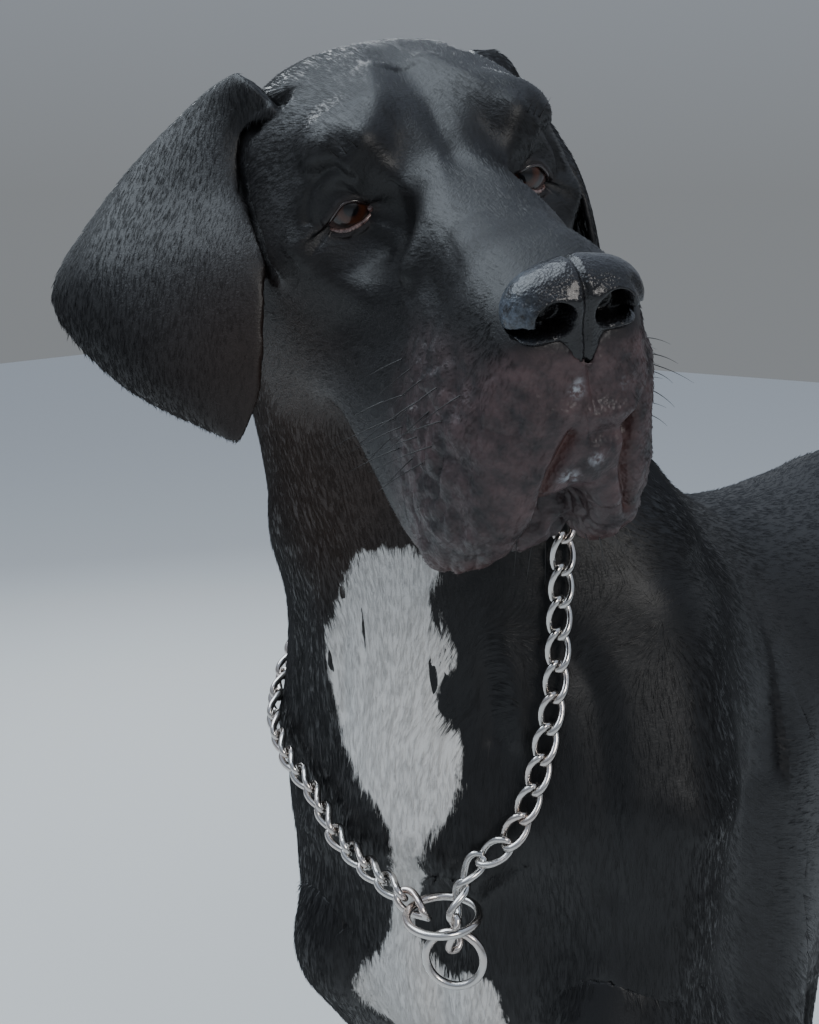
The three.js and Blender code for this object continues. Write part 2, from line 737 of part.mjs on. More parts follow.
for (const side of SIDES) {
  const name = nameOf(side);
  const shoulder = (by) =>
    makeLimb(grown(forelimb, by), side, shoulderMarks(side, by), [1, 3, 2, 2, 1], 14, intoTrunk);
  const thigh = (by) =>
    makeLimb(grown(hindlimb, by), side, thighMarks(side, by), [2, 2, 2, 2], 14, intoTrunk);
  node(`shoulder_${name}`, shoulder(0), BLACK);
  node(`thigh_${name}`, thigh(0).subtract(tailRoot), BLACK);
  rootsOfLimbs.push(shoulder(GAP).add(shoulder(0)), thigh(GAP).add(thigh(0)));

  const foreMarks = [
    mark(side * FORELEG_X, 20, ELBOW_CUT - GAP, DOWN),
    mark(side * FORELEG_X, 10, 250, DOWN),
    mark(side * FORELEG_X, 5, 180, DOWN),
    mark(side * FORELEG_X, -12, PASTERN_CUT, DOWN),
  ];
  node(`foreleg_${name}`, makeLimb(forelimb, side, foreMarks, [3, 3, 2], 12, { far: 90 }), BLACK);
  const hindMarks = [
    mark(side * HINDLEG_X, 540, STIFLE_CUT - GAP, DOWN),
    mark(side * HINDLEG_X, 608, 310, { pitch: -64 }),
    mark(side * HINDLEG_X, 650, 236, { pitch: -80 }),
    mark(side * HINDLEG_X, 635, PASTERN_CUT, DOWN),
  ];
  node(`hindleg_${name}`, makeLimb(hindlimb, side, hindMarks, [4, 3, 2], 12, { far: 110 }), BLACK);

  for (const { kind, x, y, lean, size } of PAWS) {
    node(`${kind}paw_${name}`, paw(side * x, y, lean, size), BLACK);
  }
}
const lessLimbs = (made) => rootsOfLimbs.reduce((left, root) => left.subtract(root), made);

// Trunk
const rump = stationsBetween([mark(0, 600, 690), mark(0, 440, 680)], [4]);
const loin = stationsBetween([nudge(mark(0, 440, 680), GAP), mark(0, 270, 660)], [5]);
const neckBase = mark(0, -74, 735, { pitch: 50 });
const chestMarks = [
  nudge(mark(0, 270, 660), GAP),
  mark(0, 90, 640),
  mark(0, 38, 650, { pitch: 14 }),
  mark(0, -16, 680, { pitch: 29 }),
  mark(0, -48, 707, { pitch: 40 }),
  neckBase,
];
const chest = stationsBetween(chestMarks, [3, 2, 2, 2, 1]);
node("hindquarters", lessLimbs(rings(body, rump, 22, { start: 3, far: 330 })), BLACK);
node("loin", lessLimbs(rings(body, loin, 22, { far: 330 })), BLACK);
node("chest", lessLimbs(rings(body, chest, 24, { far: 330 })), BLACK);

// Neck: it runs up inside the head, and a slanted cut behind the jaw parts the two.
const neckTop = headMark(-6, 78, -30, { pitch: 44 });
const neckMiddle = mark(-24, -112, 860, { yaw: 14, pitch: 66 });
const neckRings = stationsBetween([nudge(neckBase, GAP), neckMiddle, neckTop], [5, 6]);
const neckForm = rings(body, neckRings, 24, { far: 260, inward: false });
const nape = headMark(0, NAPE.y, NAPE.z, { pitch: NAPE.pitch });
const earOf = (side, by) => earSheet(EARS[nameOf(side)], side, EAR_THICK + 2 * by);
const bothEars = [GAP, 0].map((by) => earOf(1, by).add(earOf(-1, by))).reduce((a, b) => a.add(b));
node("neck", lessLimbs(neckForm.subtract(beyond(nape, -GAP)).subtract(bothEars)), BLACK);

// Head
const ballIn = (x, y, z, half, turn = [0, 0, 0], bits = EYE_STEPS) => {
  const q = new THREE.Quaternion().setFromEuler(new THREE.Euler(...turn.map(rad)));
  const m = new THREE.Matrix4().compose(vec(x, y, z), q, vec(...half));
  return solid(new THREE.SphereGeometry(1, ...bits), m.premultiply(HEAD_M));
};
const headMarks = [
  headMark(0, 126, -20),
  headMark(0, 62, -28),
  headMark(0, 24, -32),
  headMark(0, -16, -34),
  headMark(0, -138, -42),
];
const headRings = stationsBetween(headMarks, [2, 3, 6, 11]);
let head = rings(wholeHead, headRings, 31, { start: 3, end: 3, far: 190 });
head = head.add(neckForm).intersect(beyond(nape, 0));

const jawRings = (by) => {
  const marks = [headMark(0, 24 + by, -90), headMark(0, -108, -104)];
  return rings(inHead(grown(hang(jaw), by)), stationsBetween(marks, [5]), 14, { end: 3, far: 90 });
};
const noseRings = (by) => {
  const marks = [headMark(0, -134 + by, -14), headMark(0, -148, -14)];
  return rings(inHead(grown(nose, by)), stationsBetween(marks, [1]), 20, { end: 3, far: 60 });
};
head = head.subtract(jawRings(GAP)).subtract(noseRings(GAP));
let noseMade = noseRings(0);
for (const side of SIDES) {
  const look = [0, 0, side * EYE.turn];
  const socket = EYE.r + GAP;
  head = head.subtract(ballIn(side * EYE.x, EYE.y, EYE.z, [socket, socket, socket], look));
  head = head.subtract(lidOpening(side));
  const eye = ballIn(side * EYE.x, EYE.y, EYE.z, [EYE.r, EYE.r, EYE.r], look);
  node(`eye_${nameOf(side)}`, eye, BROWN, 0.1);
  const [nx, ny, nz] = NOSTRIL.at;
  const [sx, sy, sz] = NOSTRIL.slit;
  const slitTurn = [0, side * 22, side * -22];
  noseMade = noseMade.subtract(ballIn(side * nx, ny, nz, NOSTRIL.half, [0, 0, side * -14], [8, 6]));
  noseMade = noseMade.subtract(ballIn(side * sx, sy, sz, NOSTRIL.slitHalf, slitTurn, [7, 5]));
}
for (const side of SIDES) node(`ear_${nameOf(side)}`, earOf(side, 0), BLACK);
node("head", head.subtract(bothEars), BLACK);
node("lower_jaw", jawRings(0), BLACK);
node("nose_leather", noseMade, NOSE_GREY, 0.35);

// Chain collar: twisted links fused in runs, joined in front by a slip ring that holds the end ring.
const collarAxis = (z) => {
  const t = Math.min(1, Math.max(0, (z - NECK_BASE.z) / (NECK_HEAD.z - NECK_BASE.z)));
  return vec(lerp(NECK_BASE.x, NECK_HEAD.x, t), lerp(NECK_BASE.y, NECK_HEAD.y, t), z);
};
const underCollar = blend(12, body, onSide(1, forelimb), onSide(-1, forelimb), wholeHead);
const slopeAt = (p) => {
  const f = (dx, dy, dz) => underCollar(p.x + dx, p.y + dy, p.z + dz);
  return vec(f(1, 0, 0) - f(-1, 0, 0), f(0, 1, 0) - f(0, -1, 0), f(0, 0, 1) - f(0, 0, -1)).normalize();
};
const onCollar = (angle, z, proud) => {
  const o = collarAxis(z);
  const d = vec(Math.sin(rad(angle)), -Math.cos(rad(angle)), 0);
  const p = o.addScaledVector(d, reach(underCollar, o, d, 330, false) + proud);
  return p.addScaledVector(slopeAt(p), proud - underCollar(p.x, p.y, p.z));
};
const heightAt = profile(COLLAR_ROUTE);
const [from, to] = [COLLAR_ROUTE[0][0], COLLAR_ROUTE[COLLAR_ROUTE.length - 1][0]];
const slipAt = vec(...SLIP_RING.at);
const endAt = vec(...END_RING.at);
const slipRadius = (SLIP_RING.across - SLIP_RING.wire) / 2;
const endRadius = (END_RING.across - END_RING.wire) / 2;
// The first link hangs the end ring, and the last link holds the slip ring.
const endTop = endAt.clone().add(vec(0, 0, endRadius));
const slipSide = slipAt.clone().add(vec(-slipRadius, 0, 0));
const half = CHAIN.pitch / 2;
const route = [endTop.clone().add(vec(0, 0, -half)), endTop.clone().add(vec(0, 0, half))];
for (let i = 0; i <= ROUTE_STEPS; i++) {
  const angle = lerp(from, to, i / ROUTE_STEPS);
  route.push(onCollar(angle, heightAt(angle)[0], CHAIN.proud));
}
const fall = vec(half * 0.9, 0, -half * 0.43);
route.push(slipSide.clone().sub(fall), slipSide.clone().add(fall));
const collarCurve = new THREE.CatmullRomCurve3(route);
collarCurve.arcLengthDivisions = 1500;
const linkCount = Math.round(collarCurve.getLength() / CHAIN.pitch);

// A point at s links along the chain, across it by y and out from the neck by z.
const TURN_LINKS = 4;
function onChain(s, y, z) {
  const u = Math.min(1, Math.max(0, s / linkCount));
  const at = collarCurve.getPointAt(u);
  const along = collarCurve.getTangentAt(u);
  const turn = rad(CHAIN.turn) * Math.min(1, Math.max(0, 1 - (s - 1) / TURN_LINKS));
  const out = slopeAt(at).projectOnPlane(along).normalize().applyAxisAngle(along, turn);
  const across = out.clone().cross(along);
  return at.addScaledVector(across, y).addScaledVector(out, z);
}

// A run of links that meet end to end. Each is an eight-cornered ring of square wire: one side
// passes over the next link's and the other under it.
function chainRun(first, next) {
  const wide = CHAIN.width / 2;
  const inner = 1 - CHAIN.wire / half;
  const corners = [[1, 0.42, 0], [0.5, 1, 1], [-0.5, 1, -1], [-1, 0.42, 0]];
  corners.push(...corners.map(([x, y, z]) => [-x, -y, -z]));
  const places = [];
  const faces = [];
  for (let i = first; i < next; i++) {
    const start = places.length;
    for (const [x, y, up] of corners) {
      const gap = i === first && x === -1 ? GAP / CHAIN.pitch : 0;
      const outside = i + 0.5 + x / 2 + gap;
      const inside = i + 0.5 + (x * inner) / 2;
      for (const lift of [CHAIN.wire / 2, -CHAIN.wire / 2]) {
        const z = up * CHAIN.over + lift;
        places.push(onChain(outside, y * wide, z), onChain(inside, y * (wide - CHAIN.wire), z));
      }
    }
    corners.forEach(([x], k) => {
      const a = start + k * 4;
      const b = start + ((k + 1) % corners.length) * 4;
      const tip = Math.abs(x) === 1 && corners[(k + 1) % corners.length][0] === x;
      const shared = tip && (x < 0 ? i > first : i < next - 1);
      const quads = [[a, b, b + 1, a + 1], [a + 3, b + 3, b + 2, a + 2], [a + 1, b + 1, b + 3, a + 3]];
      if (!shared) quads.push([a + 2, b + 2, b, a]);
      for (const [p, q, r, t] of quads) faces.push(p, q, r, p, r, t);
    });
  }
  return solid(meshOf(places, faces));
}
for (let run = 0; run < CHAIN.runs; run++) {
  const first = Math.round((run * linkCount) / CHAIN.runs);
  const next = Math.round(((run + 1) * linkCount) / CHAIN.runs);
  node(`chain_${run + 1}`, chainRun(first, next), STEEL, 0.25, 1);
}

// The slip ring lies flat against the chest round the last links, and the end ring hangs below it.
function ring(radius, wire, at, facing) {
  const g = new THREE.TorusGeometry(radius, wire / 2, 6, 18);
  const q = new THREE.Quaternion().setFromUnitVectors(vec(0, 0, 1), facing.normalize());
  return solid(g, new THREE.Matrix4().compose(at, q, vec(1, 1, 1)));
}
const slipFacing = vec(0, Math.sin(rad(SLIP_RING.tip)), 1);
const endFacing = vec(Math.sin(rad(END_RING.yaw)), -Math.cos(rad(END_RING.yaw)), 0);
node("slip_ring", ring(slipRadius, SLIP_RING.wire, slipAt, slipFacing), STEEL, 0.25, 1);
node("end_ring", ring(endRadius, END_RING.wire, endAt, endFacing), STEEL, 0.25, 1);

// The origin goes to the middle of the floor under the whole.
const box = new THREE.Box3().setFromObject(group);
const middle = box.getCenter(vec(0, 0, 0));
group.position.set(-middle.x, -middle.y, -box.min.z);

export default group;
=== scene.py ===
# A great dane standing with its head turned to its left, as seen from its front and left.
# The flesh of the solids is grown together into one skin, which is brought to the smooth form
# of skull, lips and neck, given its folds and lids, and covered with short flat fur.
# Metres and +Z up for what is made. Forms are thought out in millimetres in the dog's own
# frame, and on the head in the head's frame: between the eyes, -Y to the nose, +X its left.

import json
import math

import bpy
import numpy as np
from mathutils import Matrix, Vector
from mathutils.bvhtree import BVHTree

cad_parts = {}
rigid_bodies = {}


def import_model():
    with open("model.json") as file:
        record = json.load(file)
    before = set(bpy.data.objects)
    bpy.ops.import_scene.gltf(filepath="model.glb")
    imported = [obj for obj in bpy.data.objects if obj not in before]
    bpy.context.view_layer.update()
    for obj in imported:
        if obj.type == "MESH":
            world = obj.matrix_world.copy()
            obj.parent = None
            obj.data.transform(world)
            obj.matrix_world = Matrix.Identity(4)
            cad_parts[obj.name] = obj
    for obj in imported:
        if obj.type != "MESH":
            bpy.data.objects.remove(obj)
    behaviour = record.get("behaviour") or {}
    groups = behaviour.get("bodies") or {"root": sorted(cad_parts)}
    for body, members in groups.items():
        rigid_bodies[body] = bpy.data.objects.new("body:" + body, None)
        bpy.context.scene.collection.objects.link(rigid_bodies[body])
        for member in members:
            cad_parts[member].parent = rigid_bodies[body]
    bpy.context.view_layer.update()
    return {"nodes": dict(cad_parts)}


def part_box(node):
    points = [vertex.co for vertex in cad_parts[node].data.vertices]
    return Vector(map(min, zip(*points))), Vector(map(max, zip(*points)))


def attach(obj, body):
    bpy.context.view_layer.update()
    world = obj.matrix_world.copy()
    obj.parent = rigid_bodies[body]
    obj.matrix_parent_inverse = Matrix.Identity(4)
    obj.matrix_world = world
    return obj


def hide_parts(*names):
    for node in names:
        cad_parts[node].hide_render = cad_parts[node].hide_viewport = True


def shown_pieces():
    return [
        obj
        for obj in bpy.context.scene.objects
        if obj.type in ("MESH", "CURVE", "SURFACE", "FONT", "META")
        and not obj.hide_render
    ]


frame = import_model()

NODES = frame["nodes"]
rng = np.random.default_rng(11)

# The head's place and turn
HEAD_AT = np.array([28.0, -210.0, 1022.0])
HEAD_YAW, HEAD_PITCH, HEAD_ROLL = 54.3, -10.3, 10.8
EYE_X, EYE_Y, EYE_R, EYE_TURN = 41.0, 5.0, 12.5, 22.0
HANG = 0.115
COAT_DEPTH = 1.6

HEAD_TURN = (
    Matrix.Rotation(math.radians(HEAD_YAW), 3, "Z")
    @ Matrix.Rotation(math.radians(-HEAD_PITCH), 3, "X")
    @ Matrix.Rotation(math.radians(-HEAD_ROLL), 3, "Y")
)
HEAD_M = np.array(HEAD_TURN)


def eye_middle(side):
    low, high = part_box(f"eye_{side}")
    return (np.array(low) + np.array(high)) / 2


BETWEEN_EYES = (eye_middle("left") + eye_middle("right")) / 2 * 1000
SHIFT = BETWEEN_EYES - (HEAD_AT + HEAD_M @ np.array([0, EYE_Y, 0]))


# From metres of the frame to the dog's millimetres and the head's, and back
def to_dog(metres):
    return metres * 1000 - SHIFT


def from_dog(points):
    return (points + SHIFT) / 1000


def to_head(dog):
    return (dog - HEAD_AT) @ HEAD_M


def from_head(points):
    return points @ HEAD_M.T + HEAD_AT


def smooth_step(low, high, value):
    t = np.clip((value - low) / (high - low), 0, 1)
    return t * t * (3 - 2 * t)


# Fields: negative inside a form, about the distance to it outside. Points are rows of x, y, z.
def oval(at, half, turn_z=0.0):
    at, half = np.array(at, float), np.array(half, float)
    c, s = math.cos(math.radians(turn_z)), math.sin(math.radians(turn_z))

    def field(p):
        q = p - at
        if turn_z:
            q = np.stack([c * q[:, 0] + s * q[:, 1], c * q[:, 1] - s * q[:, 0], q[:, 2]], 1)
        near = np.linalg.norm(q / half, axis=1)
        slope = np.linalg.norm(q / half**2, axis=1)
        return np.where(slope < 1e-9, -half.min(), near * (near - 1) / np.maximum(slope, 1e-9))

    return field


def limb(joints, flat=1.0):
    squash = np.array([1 / flat, 1, 1])

    def field(p):
        best = np.full(len(p), np.inf)
        for a, b in zip(joints[:-1], joints[1:]):
            start = np.array(a[:3], float)
            along = (np.array(b[:3], float) - start) * squash
            q = (p - start) * squash
            t = np.clip(q @ along / (along @ along), 0, 1)
            d = np.linalg.norm(q - t[:, None] * along, axis=1) - (a[3] + (b[3] - a[3]) * t)
            best = np.minimum(best, d)
        return best * min(1, flat)

    return field


def profile(stations):
    rows = np.array(stations, float)
    places, values = rows[:, 0], rows[:, 1:]
    n = len(rows)

    def shape(at):
        i = np.clip(np.searchsorted(places, at, side="left") - 1, 0, n - 2)
        span = places[i + 1] - places[i]
        t = np.clip((at - places[i]) / span, 0, 1)
        before, after = np.maximum(i - 1, 0), np.minimum(i + 2, n - 1)
        slope_from = (values[i + 1] - values[before]) / (places[i + 1] - places[before])[:, None]
        slope_to = (values[after] - values[i]) / (places[after] - places[i])[:, None]
        t, span = t[:, None], span[:, None]
        h0 = 2 * t**3 - 3 * t**2 + 1
        h1 = t**3 - 2 * t**2 + t
        h3 = t**3 - t**2
        return h0 * values[i] + h1 * slope_from * span + (1 - h0) * values[i + 1] + h3 * slope_to * span

    return shape


# Two limits at once: the higher of a and b, with the edge between them rounded over about k
def soft_max(k, a, b):
    h = np.maximum(k - np.abs(a - b), 0) / k
    return np.maximum(a, b) + h * h * k / 4


# The smaller half size of a ring, which passes softly from the one above to the one below
def soft_size(wide, above, below, height):
    share = smooth_step(-16, 16, height)
    return np.minimum(wide, above) * share + np.minimum(wide, below) * (1 - share)


# A form that runs along Y: [y, middle x, half width, top z, widest z, low z]
def lengthwise(stations, square=2.2, end_round=10.0):
    shape = profile(stations)
    first, last = stations[0][0], stations[-1][0]

    def field(p):
        at = np.clip(p[:, 1], first, last)
        middle, wide, top, mid, low = shape(at).T
        tall = np.where(p[:, 2] > mid, top - mid, mid - low)
        share = (np.abs(p[:, 0] - middle) / wide) ** square + (np.abs(p[:, 2] - mid) / tall) ** square
        ring = (share ** (1 / square) - 1) * soft_size(wide, top - mid, mid - low, p[:, 2] - mid)
        return soft_max(end_round, ring, np.maximum(first - p[:, 1], p[:, 1] - last))

    return field


# A form along a line from a to b: [share of the way, half width, crest, throat, yaw, bow]
def column(a, b, stations, square=2.2):
    shape = profile(stations)
    length = np.linalg.norm(b - a)
    axis = (b - a) / length

    def field(p):
        q = p - a
        s = q @ axis / length
        t = np.clip(s, 0, 1)
        wide, crest, throat, yaw, bow = shape(t).T
        side = np.stack([np.cos(np.radians(yaw)), np.sin(np.radians(yaw)), np.zeros(len(p))], 1)
        side -= (side @ axis)[:, None] * axis
        side /= np.linalg.norm(side, axis=1)[:, None]
        up = np.cross(axis, side)
        u = np.sum(q * side, axis=1)
        v = -np.sum(q * up, axis=1) - bow
        tall = np.where(v > 0, crest, throat)
        share = (np.abs(u) / wide) ** square + (np.abs(v) / tall) ** square
        ring = (share ** (1 / square) - 1) * soft_size(wide, crest, throat, v)
        return soft_max(30.0, ring, np.maximum(-s, s - 1) * length)

    return field


# Two forms run into each other over about the distance k
def blend(k, *fields):
    def field(p):
        d = fields[0](p)
        for other in fields[1:]:
            e = other(p)
            h = np.maximum(k - np.abs(d - e), 0) / k
            d = np.minimum(d, e) - h * h * k / 4
        return d

    return field


def without(k, form, room):
    return lambda p: soft_max(k, form(p), -room(p))


# Raises or sinks the surface round places: [x, y, z, height, across, along, up]
def swell(form, *places):
    def field(p):
        d = form(p)
        for x, y, z, height, across, along, up in places:
            e = ((p - (x, y, z)) / (across, along, up)) ** 2
            d = d - height * np.exp(-e.sum(1))
        return d

    return field


def both(form):
    return lambda p: form(np.stack([np.abs(p[:, 0]), p[:, 1], p[:, 2]], 1))


def hang(form):
    def field(p):
        q = p.copy()
        q[:, 0] -= HANG * np.minimum(0, p[:, 2] + 20)
        return form(q)

    return field


def in_head(form):
    return lambda p: form(to_head(p))


# A form is worked out only in the box that it can reach, which saves time
def in_box(form, low, high):
    def field(p):
        inside = np.all((p > low) & (p < high), axis=1)
        d = np.full(len(p), 900.0)
        d[inside] = form(p[inside])
        return d

    return field


# Body forms
trunk = lengthwise([
    [-172, 0, 30, 700, 640, 585],
    [-150, 0, 62, 735, 630, 545],
    [-110, 0, 84, 780, 625, 500],
    [-40, 0, 100, 828, 630, 448],
    [25, 0, 110, 845, 635, 430],
    [100, 0, 121, 832, 640, 428],
    [180, 0, 128, 818, 645, 438],
    [270, 0, 122, 811, 655, 464],
    [350, 0, 108, 812, 672, 504],
    [430, 0, 94, 816, 690, 545],
    [500, 0, 92, 812, 690, 566],
    [560, 0, 88, 796, 685, 580],
    [612, 0, 66, 764, 680, 604],
    [648, 0, 26, 716, 674, 636],
], 2.25)
NECK_BASE = np.array([-6.0, -60.0, 715.0])
NECK_HEAD = from_head(np.array([-12.0, 96.0, -36.0]))
neck = column(NECK_BASE, NECK_HEAD, [
    [0, 116, 140, 134, 0, 0],
    [0.25, 110, 116, 126, 6, 0],
    [0.5, 100, 98, 110, 16, 0],
    [0.75, 88, 86, 96, 32, 0],
    [1, 77, 76, 84, 50, 0],
], 2.15)
neck_muscle = both(limb([
    [64, -92, 830, 38],
    [87, -110, 720, 46],
    [86, -108, 650, 44],
    [80, -84, 590, 30],
]))

# Head forms
skull = lengthwise([
    [-72, 0, 18, -8, -24, -50],
    [-52, 0, 27, 2, -16, -56],
    [-32, 0, 34, 10, -10, -60],
    [-12, 0, 42, 24, -6, -62],
    [8, 0, 53, 39, 0, -64],
    [40, 0, 62, 48, 4, -70],
    [85, 0, 64, 51, 6, -74],
    [122, 0, 50, 44, 6, -60],
    [146, 0, 22, 28, 8, -20],
], 2.3, 24)
muzzle = lengthwise([
    [-157, 0, 6, -36, -52, -70],
    [-156, 0, 14, -28, -51, -78],
    [-153, 0, 22, -20, -50, -84],
    [-148, 0, 28, -12, -47, -89],
    [-138, 0, 33, -6, -44, -92],
    [-126, 0, 35, -2, -41, -92],
    [-106, 0, 36, 4, -40, -92],
    [-60, 0, 36, 6, -36, -92],
    [-20, 0, 40, 12, -30, -92],
    [30, 0, 48, 24, -20, -96],
], 2.8)
flews = both(lengthwise([
    [-151, 20, 2, -62, -74, -86],
    [-149, 21, 7, -50, -74, -98],
    [-144, 24, 12, -44, -76, -107],
    [-134, 27, 16, -40, -80, -118],
    [-108, 31, 19, -35, -88, -136],
    [-70, 34, 18, -40, -88, -132],
    [-38, 37, 16, -48, -84, -118],
    [-6, 42, 14, -50, -76, -99],
    [26, 46, 12, -50, -68, -84],
], 2.4))
jaw = lengthwise([
    [-122, 0, 13, -88, -106, -120],
    [-112, 0, 21, -80, -106, -128],
    [-80, 0, 23, -76, -98, -122],
    [-30, 0, 28, -70, -92, -114],
    [20, 0, 36, -60, -88, -112],
    [60, 0, 40, -60, -80, -104],
], 2.4)
cheeks = both(blend(
    14,
    oval([46, 62, -32], [23, 50, 42]),
    oval([51, 30, -14], [14, 40, 13], -8),
    oval([33, 3, 25], [17, 13, 11]),
    oval([38, 84, -64], [26, 44, 38]),
    oval([66, 102, -2], [18, 18, 22]),
))
eye_balls = both(oval([EYE_X, EYE_Y, 0], [EYE_R + 2.4] * 3))
head_forms = swell(
    blend(24, skull, hang(blend(15, muzzle, flews)), cheeks),
    [0, 26, 48, -5, 9, 40, 22],
    [0, -20, 14, -4, 12, 12, 12],
    [26, -12, -2, -5, 10, 14, 14],
    [-26, -12, -2, -5, 10, 14, 14],
)
nose_form = blend(
    6,
    oval([0, -145, -10], [22, 15, 13]),
    both(oval([15, -145, -15], [12.8, 13.5, 13])),
    oval([0, -147, -26], [9, 9, 15]),
)
# The skin sinks round the eyes, so that the lids lie on the eyeballs as in life
orbits = both(oval([EYE_X + 12, EYE_Y - 33, -3], [27, 24, 20]))
nose_room = in_box(lambda p: np.maximum(nose_form(p) + 2.6, p[:, 1] + 134), (-60, -200, -80), (60, -100, 40))
whole_head = blend(3, without(1.5, head_forms, nose_room), hang(jaw))
HEAD_BOX = ((-260, -420, 800), (260, 60, 1180))
body = blend(
    45,
    in_box(trunk, (-260, -300, 330), (260, 800, 980)),
    in_box(neck, (-260, -420, 520), (260, 130, 1180)),
    in_box(neck_muscle, (-200, -230, 480), (200, 20, 960)),
    in_box(in_head(blend(15, skull, cheeks)), *HEAD_BOX),
)


# Limb forms, made for the left side and mirrored
FORELEG_X, HINDLEG_X = 100, 94
forelimb = blend(
    30,
    oval([74, -28, 706], [29, 74, 112]),
    limb([
        [86, -118, 592, 50],
        [FORELEG_X - 3, -58, 522, 48],
        [FORELEG_X, 18, 462, 38],
    ], 0.82),
    limb([
        [86, 40, 680, 54],
        [FORELEG_X, 36, 500, 42],
        [FORELEG_X, 44, 452, 26],
    ], 0.62),
    blend(
        12,
        limb([
            [FORELEG_X, 20, 462, 40],
            [FORELEG_X, 16, 390, 33],
            [FORELEG_X - 1, 12, 300, 23],
            [FORELEG_X - 1, 8, 222, 22],
            [FORELEG_X - 1, 6, 200, 24],
            [FORELEG_X, 2, 150, 19],
            [FORELEG_X, -12, 96, 20],
            [FORELEG_X, -26, 56, 22],
        ], 0.86),
        oval([FORELEG_X, 30, 204], [8, 8, 14]),
    ),
)
hindlimb = blend(
    30,
    limb([
        [58, 500, 736, 56],
        [60, 590, 700, 50],
    ]),
    limb([
        [74, 552, 668, 86],
        [HINDLEG_X - 4, 502, 560, 74],
        [HINDLEG_X, 480, 482, 50],
    ], 0.62),
    limb([
        [64, 604, 670, 52],
        [HINDLEG_X - 8, 602, 540, 48],
        [HINDLEG_X - 1, 588, 450, 36],
        [HINDLEG_X, 600, 382, 20],
    ], 0.66),
    blend(
        14,
        limb([
            [HINDLEG_X, 482, 478, 47],
            [HINDLEG_X, 540, 402, 40],
            [HINDLEG_X, 600, 320, 26],
            [HINDLEG_X, 640, 262, 21],
            [HINDLEG_X, 650, 236, 22],
            [HINDLEG_X, 645, 170, 18],
            [HINDLEG_X, 637, 100, 19],
            [HINDLEG_X, 624, 56, 22],
        ], 0.74),
        limb([
            [HINDLEG_X, 596, 400, 20],
            [HINDLEG_X, 640, 322, 9],
            [HINDLEG_X, 670, 262, 10],
        ], 0.6),
        oval([HINDLEG_X, 666, 258], [11, 13, 18]),
    ),
)
tail = limb([
    [0, 612, 738, 32],
    [0, 650, 722, 27],
    [0, 688, 660, 23],
    [0, 706, 560, 19],
    [0, 712, 450, 15],
    [0, 718, 350, 11],
    [0, 736, 272, 5],
])


# A paw on the floor below (x, y): four arched toes over a sole pad, the middle two longest
TOES = [[-29, -26], [-10.5, -47], [10.5, -47], [29, -26]]
PAWS = [["fore", FORELEG_X, -30, 1.0], ["hind", HINDLEG_X, 612, 0.94]]


def paw_form(x, y, size):
    toes = [
        limb([
            [x + across * 0.5 * size, y + 18, 46, 18 * size],
            [x + across * 0.92 * size, y + (ahead + 16) * size, 33 * size, 14.5 * size],
            [x + across * size, y + (ahead - 5) * size, 12.4 * size, 13 * size],
        ])
        for across, ahead in TOES
    ]
    sole = blend(
        8,
        oval([x, y + 4, 20 * size], [33 * size, 34 * size, 22 * size]),
        limb([
            [x, y + 28, 96, 20],
            [x, y + 14, 56, 23],
            [x, y + 6, 38, 27],
        ], 0.96),
    )
    return blend(4, sole, *toes)


def pair_of(form, low, high):
    return in_box(both(lambda p: np.maximum(form(p), 5 - p[:, 0])), low, high)


# Meshes as arrays
def points_of(piece):
    co = np.zeros(len(piece.data.vertices) * 3)
    piece.data.vertices.foreach_get("co", co)
    return co.reshape(-1, 3)


def set_points(piece, co):
    piece.data.vertices.foreach_set("co", np.asarray(co, np.float32).ravel())
    piece.data.update()


def edges_of(piece):
    ends = np.zeros(len(piece.data.edges) * 2, np.int32)
    piece.data.edges.foreach_get("vertices", ends)
    return ends.reshape(-1, 2)


def normals_of(piece):
    normal = np.zeros(len(piece.data.vertices) * 3)
    piece.data.vertex_normals.foreach_get("vector", normal)
    return normal.reshape(-1, 3)


def relax(co, edges, weight, times):
    """Moves each point towards the middle of its neighbours, and back out again, by its weight."""
    moves = weight > 0.001
    a, b = edges[moves[edges[:, 0]] | moves[edges[:, 1]]].T
    n = len(co)
    count = np.maximum(np.bincount(a, minlength=n) + np.bincount(b, minlength=n), 1)
    co = co.copy()
    for turn in range(times):
        for share in (0.6, -0.62) if turn % 2 == 0 else (0.6,):
            total = np.stack(
                [np.bincount(a, co[b, k], n) + np.bincount(b, co[a, k], n) for k in range(3)], 1
            )
            middle = total[moves] / count[moves, None]
            co[moves] += (share * weight[moves])[:, None] * (middle - co[moves])
    return co


# Tools of the modelling window
def deselect_all():
    if bpy.context.object and bpy.context.object.mode != "OBJECT":
        bpy.ops.object.mode_set(mode="OBJECT")
    bpy.ops.object.select_all(action="DESELECT")


def choose(piece):
    deselect_all()
    piece.hide_set(False)
    piece.select_set(True)
    bpy.context.view_layer.objects.active = piece


def apply_all(piece):
    choose(piece)
    for modifier in list(piece.modifiers):
        bpy.ops.object.modifier_apply(modifier=modifier.name)


def node_copy(name, label):
    piece = bpy.data.objects.new(label, NODES[name].data.copy())
    bpy.context.scene.collection.objects.link(piece)
    choose(piece)
    bpy.ops.object.mode_set(mode="EDIT")
    bpy.ops.mesh.select_all(action="SELECT")
    bpy.ops.mesh.remove_doubles(threshold=0.00001)
    bpy.ops.mesh.normals_make_consistent(inside=False)
    bpy.ops.object.mode_set(mode="OBJECT")
    piece.data.materials.clear()
    return piece


